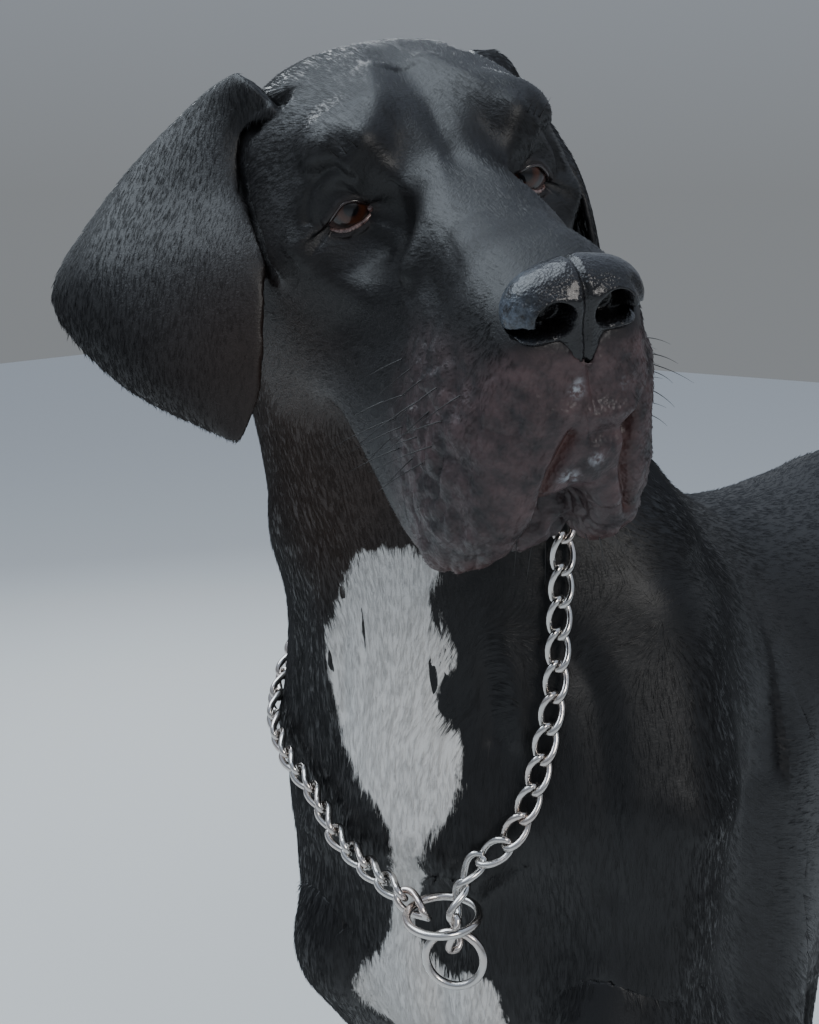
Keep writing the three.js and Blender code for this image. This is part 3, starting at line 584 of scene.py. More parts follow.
# A curve through points. It is asked for at shares of the way, 0 to 1, each span being alike.
def curve_through(points):
    points = np.array(points, float)
    n = len(points)
    padded = np.vstack([2 * points[0] - points[1], points, 2 * points[-1] - points[-2]])

    def at(shares):
        place = np.clip(np.asarray(shares, float), 0, 1) * (n - 1)
        i = np.minimum(place.astype(int), n - 2)
        t = (place - i)[:, None]
        p0, p1, p2, p3 = (padded[i + k] for k in range(4))
        d0, d1, d2 = (
            np.maximum(np.linalg.norm(b - a, axis=1), 1e-6)[:, None] ** 0.5
            for a, b in ((p0, p1), (p1, p2), (p2, p3))
        )
        m1 = ((p1 - p0) / d0 - (p2 - p0) / (d0 + d1) + (p2 - p1) / d1) * d1
        m2 = ((p2 - p1) / d1 - (p3 - p1) / (d1 + d2) + (p3 - p2) / d2) * d1
        return (
            p1 + m1 * t + (3 * (p2 - p1) - 2 * m1 - m2) * t**2 + (2 * (p1 - p2) + m1 + m2) * t**3
        )

    return at


def object_from(name, points, faces):
    mesh = bpy.data.meshes.new(name)
    mesh.from_pydata(np.asarray(points).tolist(), [], [list(map(int, f)) for f in faces])
    mesh.update()
    piece = bpy.data.objects.new(name, mesh)
    bpy.context.scene.collection.objects.link(piece)
    return piece


# Ears: points down the front edge, the back edge, and how far rows arch out, in the head's frame
EARS = {
    "right": {
        "front": [[52, 60, 34], [68, 78, 28], [78, 68, 4], [79, 32, -26], [88, 16, -60], [100, 11, -100]],
        "back": [[52, 118, 4], [92, 121, 12], [136, 118, -6], [172, 98, -38], [154, 60, -72], [112, 22, -100]],
        "arch": [[12, 2, 30], [4, 4, 18], [8, -2, 9], [6, -8, 6], [5, -8, 2], [2, -4, 0]],
    },
    "left": {
        "front": [[44, 62, 36], [58, 68, 34], [68, 54, 12], [78, 38, -14], [82, 28, -48], [84, 34, -92]],
        "back": [[50, 118, 4], [76, 122, 6], [92, 118, -18], [98, 102, -48], [96, 78, -80], [88, 46, -98]],
        "arch": [[6, 2, 22], [6, 2, 12], [9, 0, 4], [8, -3, 0], [6, -4, 0], [3, -3, 0]],
    },
}
EAR_ACROSS, EAR_DOWN = 40, 64
EAR_THICK = 4.2


def ear_flap(name, side):
    u, v = np.meshgrid(np.linspace(0, 1, EAR_ACROSS + 1), np.linspace(0, 1, EAR_DOWN + 1))
    flat_u, flat_v = u.ravel(), v.ravel()
    front, back, arch = (curve_through(EARS[name][k])(flat_v) for k in ("front", "back", "arch"))
    # a roll along the front edge and two soft folds down the flap
    roll = np.exp(-((flat_u / 0.1) ** 2)) * np.sin(np.pi * np.clip(flat_v, 0, 1)) ** 0.5
    folds = 1.6 * np.sin(flat_u * 9 + 2.0 * flat_v) * np.exp(-(((flat_v - 0.45) / 0.35) ** 2))
    narrow = np.sqrt(1 - np.clip((flat_v - 0.88) / 0.12, 0, 0.995) ** 2)
    flat_u = 0.5 + (flat_u - 0.5) * narrow
    p = front + (back - front) * flat_u[:, None] + arch * (4 * flat_u * (1 - flat_u))[:, None]
    grid = p.reshape(EAR_DOWN + 1, EAR_ACROSS + 1, 3)
    across = np.gradient(grid, axis=1)
    down = np.gradient(grid, axis=0)
    out = np.cross(across, down).reshape(-1, 3)
    out /= np.maximum(np.linalg.norm(out, axis=1), 1e-6)[:, None]
    if out[:, 0].mean() < 0:
        out = -out
    edge = np.minimum(np.minimum(u, 1 - u).ravel() / 0.12, (1 - flat_v) / 0.08)
    half = EAR_THICK / 2 * (0.62 + 0.38 * np.clip(edge, 0, 1)) * (1.5 - 0.5 * np.clip(flat_v / 0.25, 0, 1))
    p = p + out * (folds + 2.2 * roll)[:, None]
    some = np.arange(len(p)).reshape(EAR_DOWN + 1, EAR_ACROSS + 1)[::4, ::4].ravel()
    EAR_SIZES[name] = (p[some] * (side, 1, 1), out[some] * (side, 1, 1))
    outer, inner = p + out * half[:, None], p - out * half[:, None]
    points = np.vstack([outer, inner]) * (side, 1, 1)
    row, n = EAR_ACROSS + 1, len(p)
    faces = []
    for j in range(EAR_DOWN):
        for i in range(EAR_ACROSS):
            a = j * row + i
            faces.append((a, a + 1, a + row + 1, a + row))
            faces.append((n + a + row, n + a + row + 1, n + a + 1, n + a))
    rim = [i for i in range(EAR_ACROSS)] + [j * row + EAR_ACROSS for j in range(EAR_DOWN)]
    rim += [EAR_DOWN * row + i for i in range(EAR_ACROSS, 0, -1)] + [j * row for j in range(EAR_DOWN, 0, -1)]
    for a, b in zip(rim, rim[1:] + rim[:1]):
        faces.append((a, n + a, n + b, b))
    piece = object_from(f"flesh_ear_{name}", from_dog(from_head(points)), faces)
    choose(piece)
    bpy.ops.object.mode_set(mode="EDIT")
    bpy.ops.mesh.select_all(action="SELECT")
    bpy.ops.mesh.normals_make_consistent(inside=False)
    bpy.ops.object.mode_set(mode="OBJECT")
    return piece


def filling(at, half):
    """An oval that closes a socket, so that the skin runs over it."""
    bpy.ops.mesh.primitive_uv_sphere_add(segments=48, ring_count=24, radius=1)
    ball = bpy.context.object
    set_points(ball, from_dog(from_head(points_of(ball) * half + at)))
    return ball


# Skin
LID_THICK = 2.4
FLESH = ["head", "lower_jaw", "neck", "chest", "loin", "hindquarters", "tail"]
for part in ("ear", "shoulder", "foreleg", "forepaw", "thigh", "hindleg", "hindpaw"):
    FLESH += [f"{part}_left", f"{part}_right"]
GROW_TOGETHER = 0.0004
VOXEL = 4.2
HEAD_LARGER = 3.0

# The head is made larger about its middle while the flesh is remeshed, so its faces come out finer
lens_middle = from_head(np.array([10.0, -20.0, -30.0]))
lens_near = np.linspace(0, 1700, 3401)
lens_growth = 1 + (HEAD_LARGER - 1) * (1 - smooth_step(175, 330, lens_near))
lens_far = np.concatenate([[0], np.cumsum((lens_growth[1:] + lens_growth[:-1]) / 2 * 0.5)])


def through_lens(co, before, after):
    away = co - lens_middle
    near = np.linalg.norm(away, axis=1)
    return lens_middle + away * (np.interp(near, before, after) / np.maximum(near, 1e-6))[:, None]


def flesh_grown_together():
    solid_names = [name for name in FLESH if not name.startswith("ear")]
    copies = [node_copy(name, f"flesh_{name}") for name in solid_names]
    copies += [ear_flap("left", 1), ear_flap("right", -1)]
    lids = [EYE_R + LID_THICK] * 3
    copies += [filling((side * EYE_X, EYE_Y, 0), lids) for side in (1, -1)]
    deselect_all()
    for piece in copies:
        piece.select_set(True)
    bpy.context.view_layer.objects.active = copies[0]
    bpy.ops.object.join()
    skin = bpy.context.object
    skin.name = "skin"
    bpy.ops.object.mode_set(mode="EDIT")
    bpy.ops.mesh.select_all(action="SELECT")
    bpy.ops.transform.shrink_fatten(value=GROW_TOGETHER)
    bpy.ops.mesh.subdivide(number_cuts=3)
    bpy.ops.object.mode_set(mode="OBJECT")
    set_points(skin, through_lens(to_dog(points_of(skin)), lens_near, lens_far) / 1000)
    remesh = skin.modifiers.new("even_faces", "REMESH")
    remesh.mode = "VOXEL"
    remesh.voxel_size = VOXEL / 1000
    apply_all(skin)
    keep_outer(skin)
    set_points(skin, from_dog(through_lens(points_of(skin) * 1000, lens_far, lens_near)))
    return skin


def keep_outer(piece):
    """Deletes what isn't joined to the highest point."""
    choose(piece)
    top = int(np.argmax(points_of(piece)[:, 2]))
    bpy.ops.object.mode_set(mode="EDIT")
    bpy.ops.mesh.select_all(action="DESELECT")
    bpy.ops.object.mode_set(mode="OBJECT")
    piece.data.vertices[top].select = True
    bpy.ops.object.mode_set(mode="EDIT")
    bpy.ops.mesh.select_mode(type="VERT")
    bpy.ops.mesh.select_linked()
    bpy.ops.mesh.select_all(action="INVERT")
    bpy.ops.mesh.delete(type="VERT")
    bpy.ops.object.mode_set(mode="OBJECT")


# Brings points to where the form ends, less the depth of the coat, and keeps them evenly spread.
# Small forms follow the field's own slope; on the large ones the skin's normal is near enough.
def settle(co, edges, form, weight, times):
    near = np.nonzero(weight > 0.001)[0]
    step = 0.3
    for turn in range(times):
        p = co[near]
        away = form(p)
        slope = np.stack([form(p + step * axis) - away for axis in np.eye(3)], 1) / step
        slope /= np.maximum(np.linalg.norm(slope, axis=1), 0.3)[:, None]
        co[near] = p - (np.clip(away + COAT_DEPTH, -4, 4) * weight[near])[:, None] * slope
        if turn < times - 1:
            co = relax(co, edges, 0.7 * weight, 2)
    return co


def settle_large(piece, co, form, weight, times):
    near = np.nonzero(weight > 0.001)[0]
    for _ in range(times):
        set_points(piece, from_dog(co))
        move = np.clip(form(co[near]) + COAT_DEPTH, -5, 5) * weight[near]
        co[near] -= move[:, None] * normals_of(piece)[near]
    return co


def spread(values, edges, times):
    """Evens out a value over the skin."""
    a, b = edges.T
    n = len(values)
    count = np.maximum(np.bincount(a, minlength=n) + np.bincount(b, minlength=n), 1)
    for _ in range(times):
        around = (np.bincount(a, values[b], n) + np.bincount(b, values[a], n)) / count
        values = (values + around) / 2
    return values


EAR_SIZES = {}


def near_ear(p):
    """About how far each point of the head's frame is from the middle of an ear's flap."""
    best = np.full(len(p), 60.0)
    for middle, out in EAR_SIZES.values():
        near = np.nonzero(np.all((p > middle.min(0) - 16) & (p < middle.max(0) + 16), axis=1))[0]
        for part in np.array_split(near, len(near) // 4000 + 1):
            q = p[part]
            square = (q**2).sum(1)[:, None] + (middle**2).sum(1)[None] - 2 * q @ middle.T
            closest = np.argmin(square, axis=1)
            away = q - middle[closest]
            straight = np.abs((away * out[closest]).sum(1))
            aside = np.sqrt(np.maximum(np.min(square, axis=1) - straight**2, 0))
            best[part] = np.minimum(best[part], np.hypot(straight, np.maximum(aside - 5, 0)))
    return np.maximum(best - EAR_THICK / 2, 0)


skin = flesh_grown_together()
skin_edges = edges_of(skin)
dog = to_dog(points_of(skin))
flesh = blend(
    26,
    blend(
        24,
        body,
        pair_of(forelimb, (-200, -260, 0), (200, 160, 880)),
        pair_of(hindlimb, (-200, 360, 0), (200, 760, 860)),
        in_box(tail, (-90, 540, 200), (90, 780, 820)),
    ),
    in_box(in_head(whole_head), *HEAD_BOX),
)
flesh = without(16, flesh, in_box(in_head(orbits), *HEAD_BOX))
flesh = blend(5, flesh, in_box(in_head(eye_balls), *HEAD_BOX))
for _, paw_x, paw_y, paw_size in PAWS:
    reach = ((-170, paw_y - 110, -20), (170, paw_y + 80, 150))
    flesh = blend(8, flesh, pair_of(paw_form(paw_x, paw_y, paw_size), *reach))
above_floor = flesh
flesh = lambda p: soft_max(2, above_floor(p), -COAT_DEPTH - p[:, 2])

# Sculpting: lines and places are raised or sunk along the skin's own normal.
def line_distance(p, points):
    best = np.full(len(p), np.inf)
    for a, b in zip(points[:-1], points[1:]):
        along = b - a
        t = np.clip((p - a) @ along / max(along @ along, 1e-9), 0, 1)
        best = np.minimum(best, ((p - a - t[:, None] * along) ** 2).sum(1))
    return np.sqrt(best)


def line_share(p, points, width, toward=None, depth=22.0):
    """1 on a line and falling to 0 across it. With toward, the line is as seen from that way."""
    line = curve_through(points)(np.linspace(0, 1, 4 * len(points)))
    share = np.zeros(len(p))
    low, high = line.min(0) - 3 * width - (depth if toward is not None else 0), line.max(0) + 3 * width + (
        depth if toward is not None else 0
    )
    near = np.nonzero(np.all((p > low) & (p < high), axis=1))[0]
    q = p[near]
    if toward is not None:
        axis = np.array(toward, float)
        axis /= np.linalg.norm(axis)
        q = q - (q @ axis)[:, None] * axis
        line = line - (line @ axis)[:, None] * axis
    share[near] = np.exp(-((line_distance(q, line) / width) ** 2))
    return share


def lattice_noise(p, size, seed):
    """Smooth noise from -1 to 1 with lumps of about that size."""
    q = p / size + seed * 17.31
    cell = np.floor(q).astype(np.int64)
    t = q - cell
    t = t * t * (3 - 2 * t)
    total = np.zeros(len(p))
    for corner in np.ndindex(2, 2, 2):
        at = cell + corner
        h = (at[:, 0] * 73856093) ^ (at[:, 1] * 19349663) ^ (at[:, 2] * 83492791) ^ (seed * 2654435)
        h = (h ^ (h >> 13)) * 1274126177 & 0xFFFFFFFF
        weight = np.prod([t[:, k] if corner[k] else 1 - t[:, k] for k in range(3)], axis=0)
        total += weight * ((h ^ (h >> 16)) % 4096) / 2047.5
    return total - 1


# Creases (depth above zero) and ridges (below) on each side of the head, given for its left side:
# [depth, width, points]
FACE_LINES = [
    [1.5, 2.0, [[64, 0, -4], [60, -2, 8], [55, -7, 15], [49, -13, 19], [43, -19, 17]]],
    [3.0, 4.5, [[59, 1, 15], [53, -8, 20], [47, -13, 25], [44, -13, 31]]],
    [-2.6, 5.0, [[45, -15, 24], [42, -21, 14], [40, -30, 7], [39, -38, 0], [38, -44, -12]]],
    [2.6, 8.0, [[18, -12, 34], [22, -26, 20], [27, -43, 6], [31, -58, -12]]],
    [1.2, 3.4, [[38, -62, -24], [34, -66, -18], [29, -72, -9], [24, -78, -2]]],
    [-1.8, 5.0, [[22, 4, 45], [17, -5, 40], [10, -13, 32], [6, -25, 22]]],
    [1.2, 2.2, [[60, -12, -14], [53, -22, -15], [45, -31, -10], [40, -38, -2]]],
    [1.2, 4.0, [[62, -8, -22], [54, -26, -26], [46, -42, -24], [42, -56, -22]]],
    [-2.2, 7.0, [[68, 4, -14], [70, 28, -16], [68, 52, -18]]],
]
MIDDLE_LINES = [
    [1.1, 8.0, [[0, 60, 52], [0, 26, 46], [0, -4, 33], [0, -20, 20]]],
]
# Round lumps and hollows on each side: [x, y, z, height, across, along, up]
FACE_LUMPS = [
    [35, -14, 32, 3.4, 9, 9, 7],
    [20, 24, 48, 1.6, 14, 22, 10],
    [60, 26, 16, -3.2, 12, 20, 14],
    [38, -74, -52, 2.2, 10, 26, 20],
    [26, -120, -20, 1.8, 9, 16, 12],
]


def flew_share(p):
    """1 on the loose skin of the flews and the front of the lip, 0 on the rest of the head."""
    front = smooth_step(-58, -104, p[:, 1])
    low = smooth_step(-20, -48, p[:, 2])
    return front * low * smooth_step(150, 118, np.linalg.norm(p - (0, -90, -60), axis=1))


def sculpt_face(p, normal):
    """How far each point of the head moves out."""
    lift = np.zeros(len(p))
    for side in (1, -1):
        facing = np.array([side * 0.25, -0.95, -0.15])
        for depth, width, points in FACE_LINES:
            line = np.array(points, float) * (side, 1, 1)
            lift -= depth * line_share(p, line, width, facing)
        for x, y, z, height, across, along, up in FACE_LUMPS:
            e = ((p - (side * x, y, z)) / (across, along, up)) ** 2
            lift += height * np.exp(-e.sum(1))
    for depth, width, points in MIDDLE_LINES:
        lift -= depth * line_share(p, np.array(points, float), width)
    wrinkled = flew_share(p) * smooth_step(-146, -128, p[:, 1])
    wrinkles = np.minimum(np.abs(lattice_noise(p * (1, 1, 0.6), 9, 81)), 0.7)
    crinkles = np.minimum(np.abs(lattice_noise(p * (1, 1, 0.75), 4.5, 82)), 0.7)
    return lift + wrinkled * (2.6 * wrinkles + 1.3 * crinkles - 0.9)


# The same on the neck, chest and shoulders, in the dog's frame
BODY_LINES = [
    [-4.0, 13, [[70, -150, 860], [92, -127, 834], [112, -109, 803], [123, -120, 756], [129, -127, 716]]],
    [-3.0, 12, [[129, -127, 716], [127, -127, 674], [118, -124, 630]]],
    [5.0, 10, [[110, -80, 838], [132, -72, 800], [145, -82, 750], [150, -88, 700]]],
    [3.5, 9, [[60, -160, 820], [82, -150, 780], [92, -152, 730], [94, -150, 680]]],
    [-2.6, 5, [[41, -175, 850], [44, -175, 817], [50, -174, 787], [53, -174, 757]]],
    [2.2, 5, [[31, -180, 850], [33, -182, 817], [39, -182, 787], [42, -182, 757]]],
    [4.0, 12, [[0, -190, 668], [0, -180, 620], [0, -160, 560], [0, -130, 520]]],
]


def sculpt_body(p):
    lift = np.zeros(len(p))
    for side in (1, -1):
        for depth, width, points in BODY_LINES:
            line = np.array(points, float) * (side, 1, 1)
            lift -= depth * line_share(p, line, width, (side * 0.3, -1, 0), 60)
    return lift + 0.5 * lattice_noise(p * (1, 1, 0.6), 30, 71)


# Lips: the crease that parts each hanging flew from the middle of the lip, and the folds on it
LIP_LINES = [
    [4.6, 2.4, [[-22, -142, -106], [-20, -149, -92], [-17, -153, -79], [-12, -154, -69], [-8, -154, -63]]],
    [4.6, 2.4, [[19, -141, -106], [16, -147, -92], [15, -151, -81], [17, -153, -71], [20, -153, -62]]],
    [2.6, 3.4, [[3, -155, -65], [9, -155, -66], [17, -154, -66]]],
    [1.4, 2.6, [[-12, -150, -84], [-2, -152, -88], [8, -151, -84]]],
    [-1.8, 4.0, [[-9, -150, -98], [0, -151, -100], [9, -150, -98]]],
    [-2.2, 4.0, [[-8, -154, -52], [0, -155, -55], [8, -155, -57], [17, -154, -57]]],
    [1.6, 1.4, [[1, -158, -30], [1, -158, -42], [1, -157, -54]]],
]


def sculpt_lips(p):
    lift = np.zeros(len(p))
    for depth, width, points in LIP_LINES:
        lift -= depth * line_share(p, np.array(points, float), width, (-0.1, -1, -0.1))
    flew = flew_share(p)
    bent = p + 5 * np.stack([lattice_noise(p, 13, k) for k in (21, 22, 23)], 1)
    lumps = 1.2 * lattice_noise(bent * (1, 1, 0.7), 12, 3) + 0.6 * lattice_noise(bent * (1, 1, 0.8), 5.5, 4)
    creased = -1.0 * (1 - np.abs(lattice_noise(bent * (0.9, 0.9, 0.5), 9, 5))) ** 5
    return lift + flew * (lumps + creased)


# The opening between the lids, as seen along the way the eye looks: inwards, then up, from the
# middle of the eyeball
LIDS_UPPER = [[-11.6, -6.4], [-7.2, 0.8], [-2.0, 6.2], [3.2, 6.8], [8.2, 5.0], [11.6, 3.6], [13.4, 2.2]]
LIDS_LOWER = [[12.0, -0.6], [8.2, -3.6], [3.2, -6.0], [-2.6, -8.2], [-7.2, -8.4], [-10.8, -7.8]]
LOOKS = np.array([0.25, -0.95, -0.12])


def eye_axes(side):
    ahead = LOOKS * (side, 1, 1)
    ahead = ahead / np.linalg.norm(ahead)
    inward = np.array([-side, 0, 0]) + ahead * (side * ahead[0])
    inward /= np.linalg.norm(inward)
    up = np.cross(inward, ahead) * side
    if up[2] < 0:
        up = -up
    return inward, up, ahead


def opening_distance(uv):
    """Below zero in the opening between the lids, and the distance to its edge."""
    outline = curve_through(LIDS_UPPER + LIDS_LOWER + LIDS_UPPER[:1])(np.linspace(0, 1, 90))
    flat = np.hstack([uv, np.zeros((len(uv), 1))])
    outline3 = np.hstack([outline, np.zeros((len(outline), 1))])
    d = line_distance(flat, outline3)
    inside = np.zeros(len(uv), bool)
    for (ax, ay), (bx, by) in zip(outline[:-1], outline[1:]):
        crosses = (ay > uv[:, 1]) != (by > uv[:, 1])
        reach = ax + (uv[:, 1] - ay) / np.where(by == ay, 1e-9, by - ay) * (bx - ax)
        inside ^= crosses & (uv[:, 0] < reach)
    return np.where(inside, -d, d)


def open_lids(p):
    """Sinks the skin in the opening below the eyeball's face and gives the lids a rolled rim."""
    for side in (1, -1):
        middle = np.array([side * EYE_X, EYE_Y, 0])
        inward, up, ahead = eye_axes(side)
        away = p - middle
        r = np.linalg.norm(away, axis=1)
        near = np.nonzero((r < 34) & (away @ ahead > 0))[0]
        q, r = away[near], r[near]
        on_lids = q / r[:, None] * (EYE_R + LID_THICK)
        edge = opening_distance(np.stack([on_lids @ inward, on_lids @ up], 1))
        on_lid = smooth_step(8, 0.5, edge) * smooth_step(31, 16, r)
        r = np.where(r > EYE_R + LID_THICK, r + (EYE_R + LID_THICK - r) * on_lid, r)
        sunk = EYE_R - 1.2
        rim = 0.8 * np.exp(-(((edge - 1.3) / 1.3) ** 2))
        t = np.maximum(smooth_step(-0.45, 0.55, edge), smooth_step(24, 31, np.linalg.norm(q, axis=1)))
        far = np.linalg.norm(q, axis=1)
        p[near] = middle + q * ((sunk + (r + rim - sunk) * t) / far)[:, None]
    return p


def finer(piece, shares):
    """Divides the faces all of whose corners are chosen."""
    choose(piece)
    bpy.ops.object.mode_set(mode="EDIT")
    bpy.ops.mesh.select_mode(type="VERT")
    bpy.ops.mesh.select_all(action="DESELECT")
    bpy.ops.object.mode_set(mode="OBJECT")
    piece.data.vertices.foreach_set("select", shares)
    bpy.ops.object.mode_set(mode="EDIT")
    bpy.ops.mesh.subdivide(number_cuts=1)
    bpy.ops.object.mode_set(mode="OBJECT")


def round_eyes(p, radius):
    return np.minimum(*(np.linalg.norm(p - (s * EYE_X, EYE_Y - 12, 0), axis=1) for s in (1, -1))) < radius


def held_to_form(dog, edges, times):
    """How far the form rules each point, and how far it belongs to an ear."""
    away = np.abs(flesh(dog))
    on_ear = spread(smooth_step(-3, 3, away - near_ear(to_head(dog))), edges, times)
    holds = (1 - on_ear) * (1 - smooth_step(18, 30, away))
    return spread(holds, edges, times), on_ear


holds, on_ear = held_to_form(dog, skin_edges, 8)
small = holds * (np.linalg.norm(dog - HEAD_AT, axis=1) < 230)
dog = settle_large(skin, dog, flesh, holds * (small == 0), 3)
dog = settle(dog, skin_edges, flesh, small, 4)
for _ in range(4):
    by_eyes = small * round_eyes(to_head(dog), 46)
    dog = settle(dog, skin_edges, flesh, by_eyes, 2)
    dog = relax(dog, skin_edges, by_eyes, 8)
dog = settle(dog, skin_edges, flesh, by_eyes, 2)
dog = relax(dog, skin_edges, np.clip(1.1 - holds, 0, 1) * (1 - 0.6 * on_ear), 16)
set_points(skin, from_dog(dog))
head_space = to_head(dog)
finer(skin, round_eyes(head_space, 26) | (flew_share(head_space) > 0.5) & (np.abs(head_space[:, 0]) < 60))
finer(skin, round_eyes(to_head(to_dog(points_of(skin))), 19))
dog = to_dog(points_of(skin))
skin_edges = edges_of(skin)
holds, on_ear = held_to_form(dog, skin_edges, 8)
on_face = holds * (np.linalg.norm(dog - from_head(np.array([0, -60.0, -40])), axis=1) < 150)
dog = settle(dog, skin_edges, flesh, on_face, 2)
set_points(skin, from_dog(dog))
on_head = np.nonzero(np.linalg.norm(dog - HEAD_AT, axis=1) < 260)[0]
p = to_head(dog[on_head])
normal = normals_of(skin)[on_head] @ HEAD_M
p += normal * (sculpt_face(p, normal) * (1 - on_ear[on_head]))[:, None]
p += normal * (sculpt_lips(p) * (1 - on_ear[on_head]))[:, None]
p = open_lids(p)
dog[on_head] = from_head(p)
on_body = np.nonzero((dog[:, 1] < 60) & (dog[:, 2] > 480) & (dog[:, 2] < 900))[0]
p = dog[on_body]
away_from_head = smooth_step(150, 190, np.linalg.norm(to_head(p) - (0, -30, -50), axis=1))
dog[on_body] += normals_of(skin)[on_body] * (sculpt_body(p) * away_from_head)[:, None]
set_points(skin, from_dog(dog))
# The skin keeps its finest faces where its shape is finest, and most of them on the head
SKIN_TRIANGLES = 196000
THIN_LARGER = 0.6
thin_far = np.concatenate([[0], np.cumsum(0.5 + 0.5 * THIN_LARGER * (1 - smooth_step(175, 330, lens_near[1:])))])


def thin_out(piece, triangles):
    set_points(piece, from_dog(through_lens(to_dog(points_of(piece)), lens_near, thin_far)))
    faces = len(piece.data.loops) - 2 * len(piece.data.polygons)
    fewer = piece.modifiers.new("fewer_faces", "DECIMATE")
    fewer.ratio = min(1.0, triangles / faces)
    fewer.use_collapse_triangulate = True
    apply_all(piece)
    set_points(piece, from_dog(through_lens(to_dog(points_of(piece)), thin_far, lens_near)))


thin_out(skin, SKIN_TRIANGLES)
choose(skin)
bpy.ops.object.shade_smooth()
print("skin", len(skin.data.vertices), len(skin.data.polygons))

def give_attribute(piece, name, values):
    made = piece.data.attributes.new(name, "FLOAT", "POINT")
    made.data.foreach_set("value", np.asarray(values, np.float32))


# Swept forms
def swept(path, radius, sides, closed=False, flat=1.0, start_up=(0, 0, 1)):
    """Points and faces of a round or flat tube along a path, with a radius for each point."""
    path = np.asarray(path, float)
    radius = np.broadcast_to(np.asarray(radius, float), len(path))
    n = len(path)
    if closed:
        tangent = np.roll(path, -1, 0) - np.roll(path, 1, 0)
    else:
        tangent = np.gradient(path, axis=0)
    tangent /= np.linalg.norm(tangent, axis=1)[:, None]
    up = np.array(start_up, float)
    points = []
    for i in range(n):
        up = up - (up @ tangent[i]) * tangent[i]
        if np.linalg.norm(up) < 1e-6:
            up = np.cross(tangent[i], (1.0, 0.3, 0.2))
        up /= np.linalg.norm(up)
        side = np.cross(tangent[i], up)
        for k in range(sides):
            a = 2 * math.pi * k / sides
            points.append(path[i] + radius[i] * (math.cos(a) * up * flat + math.sin(a) * side))
    faces = []
    for i in range(n if closed else n - 1):
        j = (i + 1) % n
        for k in range(sides):
            m = (k + 1) % sides
            faces.append((i * sides + k, j * sides + k, j * sides + m, i * sides + m))
    if not closed:
        points += [path[0], path[-1]]
        for k in range(sides):
            m = (k + 1) % sides
            faces.append((n * sides, k, m))
            faces.append((n * sides + 1, (n - 1) * sides + m, (n - 1) * sides + k))
    return np.array(points), faces


def joined(parts):
    points, faces, start = [], [], 0
    for p, f in parts:
        points.append(p)
        faces += [tuple(i + start for i in face) for face in f]
        start += len(p)
    return np.vstack(points), faces


def shown(piece, slot, *nodes, smooth=True):
    """A finished piece: its faces point outwards, it rides with the dog and stands for its nodes."""
    choose(piece)
    bpy.ops.object.mode_set(mode="EDIT")
    bpy.ops.mesh.select_all(action="SELECT")
    bpy.ops.mesh.normals_make_consistent(inside=False)
    bpy.ops.object.mode_set(mode="OBJECT")
    if smooth:
        bpy.ops.object.shade_smooth()
    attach(piece, "root")
    if nodes:
        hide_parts(*nodes)
    return piece


# Eyeballs: a white ball with a bulging cornea. "gaze" is the angle from the way that it looks.
GAZE = np.array([-0.14, -0.93, 0.12])
GAZE /= np.linalg.norm(GAZE)
CORNEA_ANGLE, CORNEA_BULGE = 40.0, 0.7
for name, side in (("left", 1), ("right", -1)):
    bpy.ops.mesh.primitive_uv_sphere_add(segments=96, ring_count=64, radius=1)
    eye = bpy.context.object
    eye.name = f"eyeball_{name}"
    ahead_turn = np.array(Vector((0, 0, 1)).rotation_difference(Vector(GAZE)).to_matrix())
    ball = points_of(eye) @ ahead_turn.T
    angle = np.degrees(np.arccos(np.clip(ball @ GAZE, -1, 1)))
    bulge = CORNEA_BULGE * np.clip(1 - (angle / CORNEA_ANGLE) ** 2, 0, 1)
    middle = to_dog(eye_middle(name))
    set_points(eye, from_dog((ball * (EYE_R - 0.1 + bulge)[:, None]) @ HEAD_M.T + middle))
    gaze = eye.data.attributes.new("gaze", "FLOAT", "POINT")
    gaze.data.foreach_set("value", angle.astype(np.float32))
    shown(eye, "eyes", f"eye_{name}")


# Wet rims along the lids, and the small fold in the inner corner of each eye
def on_ball(side, uv, radius):
    middle = np.array([side * EYE_X, EYE_Y, 0])
    inward, up, ahead = eye_axes(side)
    uv = np.asarray(uv, float) * (radius / (EYE_R + LID_THICK))
    deep = np.sqrt(np.maximum(radius**2 - (uv**2).sum(1), 0))
    return middle + uv[:, :1] * inward + uv[:, 1:] * up + deep[:, None] * ahead


LID_PARTS = {
    "lid_rim_upper": [LIDS_UPPER, 0.9, 13.6],
    "lid_rim_lower": [LIDS_UPPER[-1:] + LIDS_LOWER + LIDS_UPPER[:1], 1.1, 13.0],
}
for label, (line, thick, radius) in LID_PARTS.items():
    parts = []
    for side in (1, -1):
        t = np.linspace(0, 1, 40)
        uv = curve_through(np.hstack([line, np.zeros((len(line), 1))]))(t)[:, :2]
        swell_at = thick * (0.35 + 0.65 * np.sin(np.pi * t) ** 0.6)
        parts.append(swept(on_ball(side, uv, radius), swell_at, 10, flat=0.8))
    points, faces = joined(parts)
    shown(object_from(label, from_dog(from_head(points)), faces), "nose")
parts = []
for side in (1, -1):
    at = on_ball(side, [[11.6, 1.6]], 13.0)[0]
    bpy.ops.mesh.primitive_uv_sphere_add(segments=20, ring_count=12, radius=1)
    bead = bpy.context.object
    parts.append((points_of(bead) * (2.4, 1.8, 2.2) + at, [tuple(f.vertices) for f in bead.data.polygons]))
    bpy.data.objects.remove(bead)
points, faces = joined(parts)
shown(object_from("tear_folds", from_dog(from_head(points)), faces), "nose")

# Nose leather: two wings with comma-shaped nostrils, and a groove down the middle
NOSTRIL_DEPTH = 12.0
# Middle across and up, and half sizes, of each opening and of the slit that runs out from it
NOSTRILS = [[11.8, -16.8, 7.6, 7.2], [20.5, -21.0, 9.0, 3.0]]


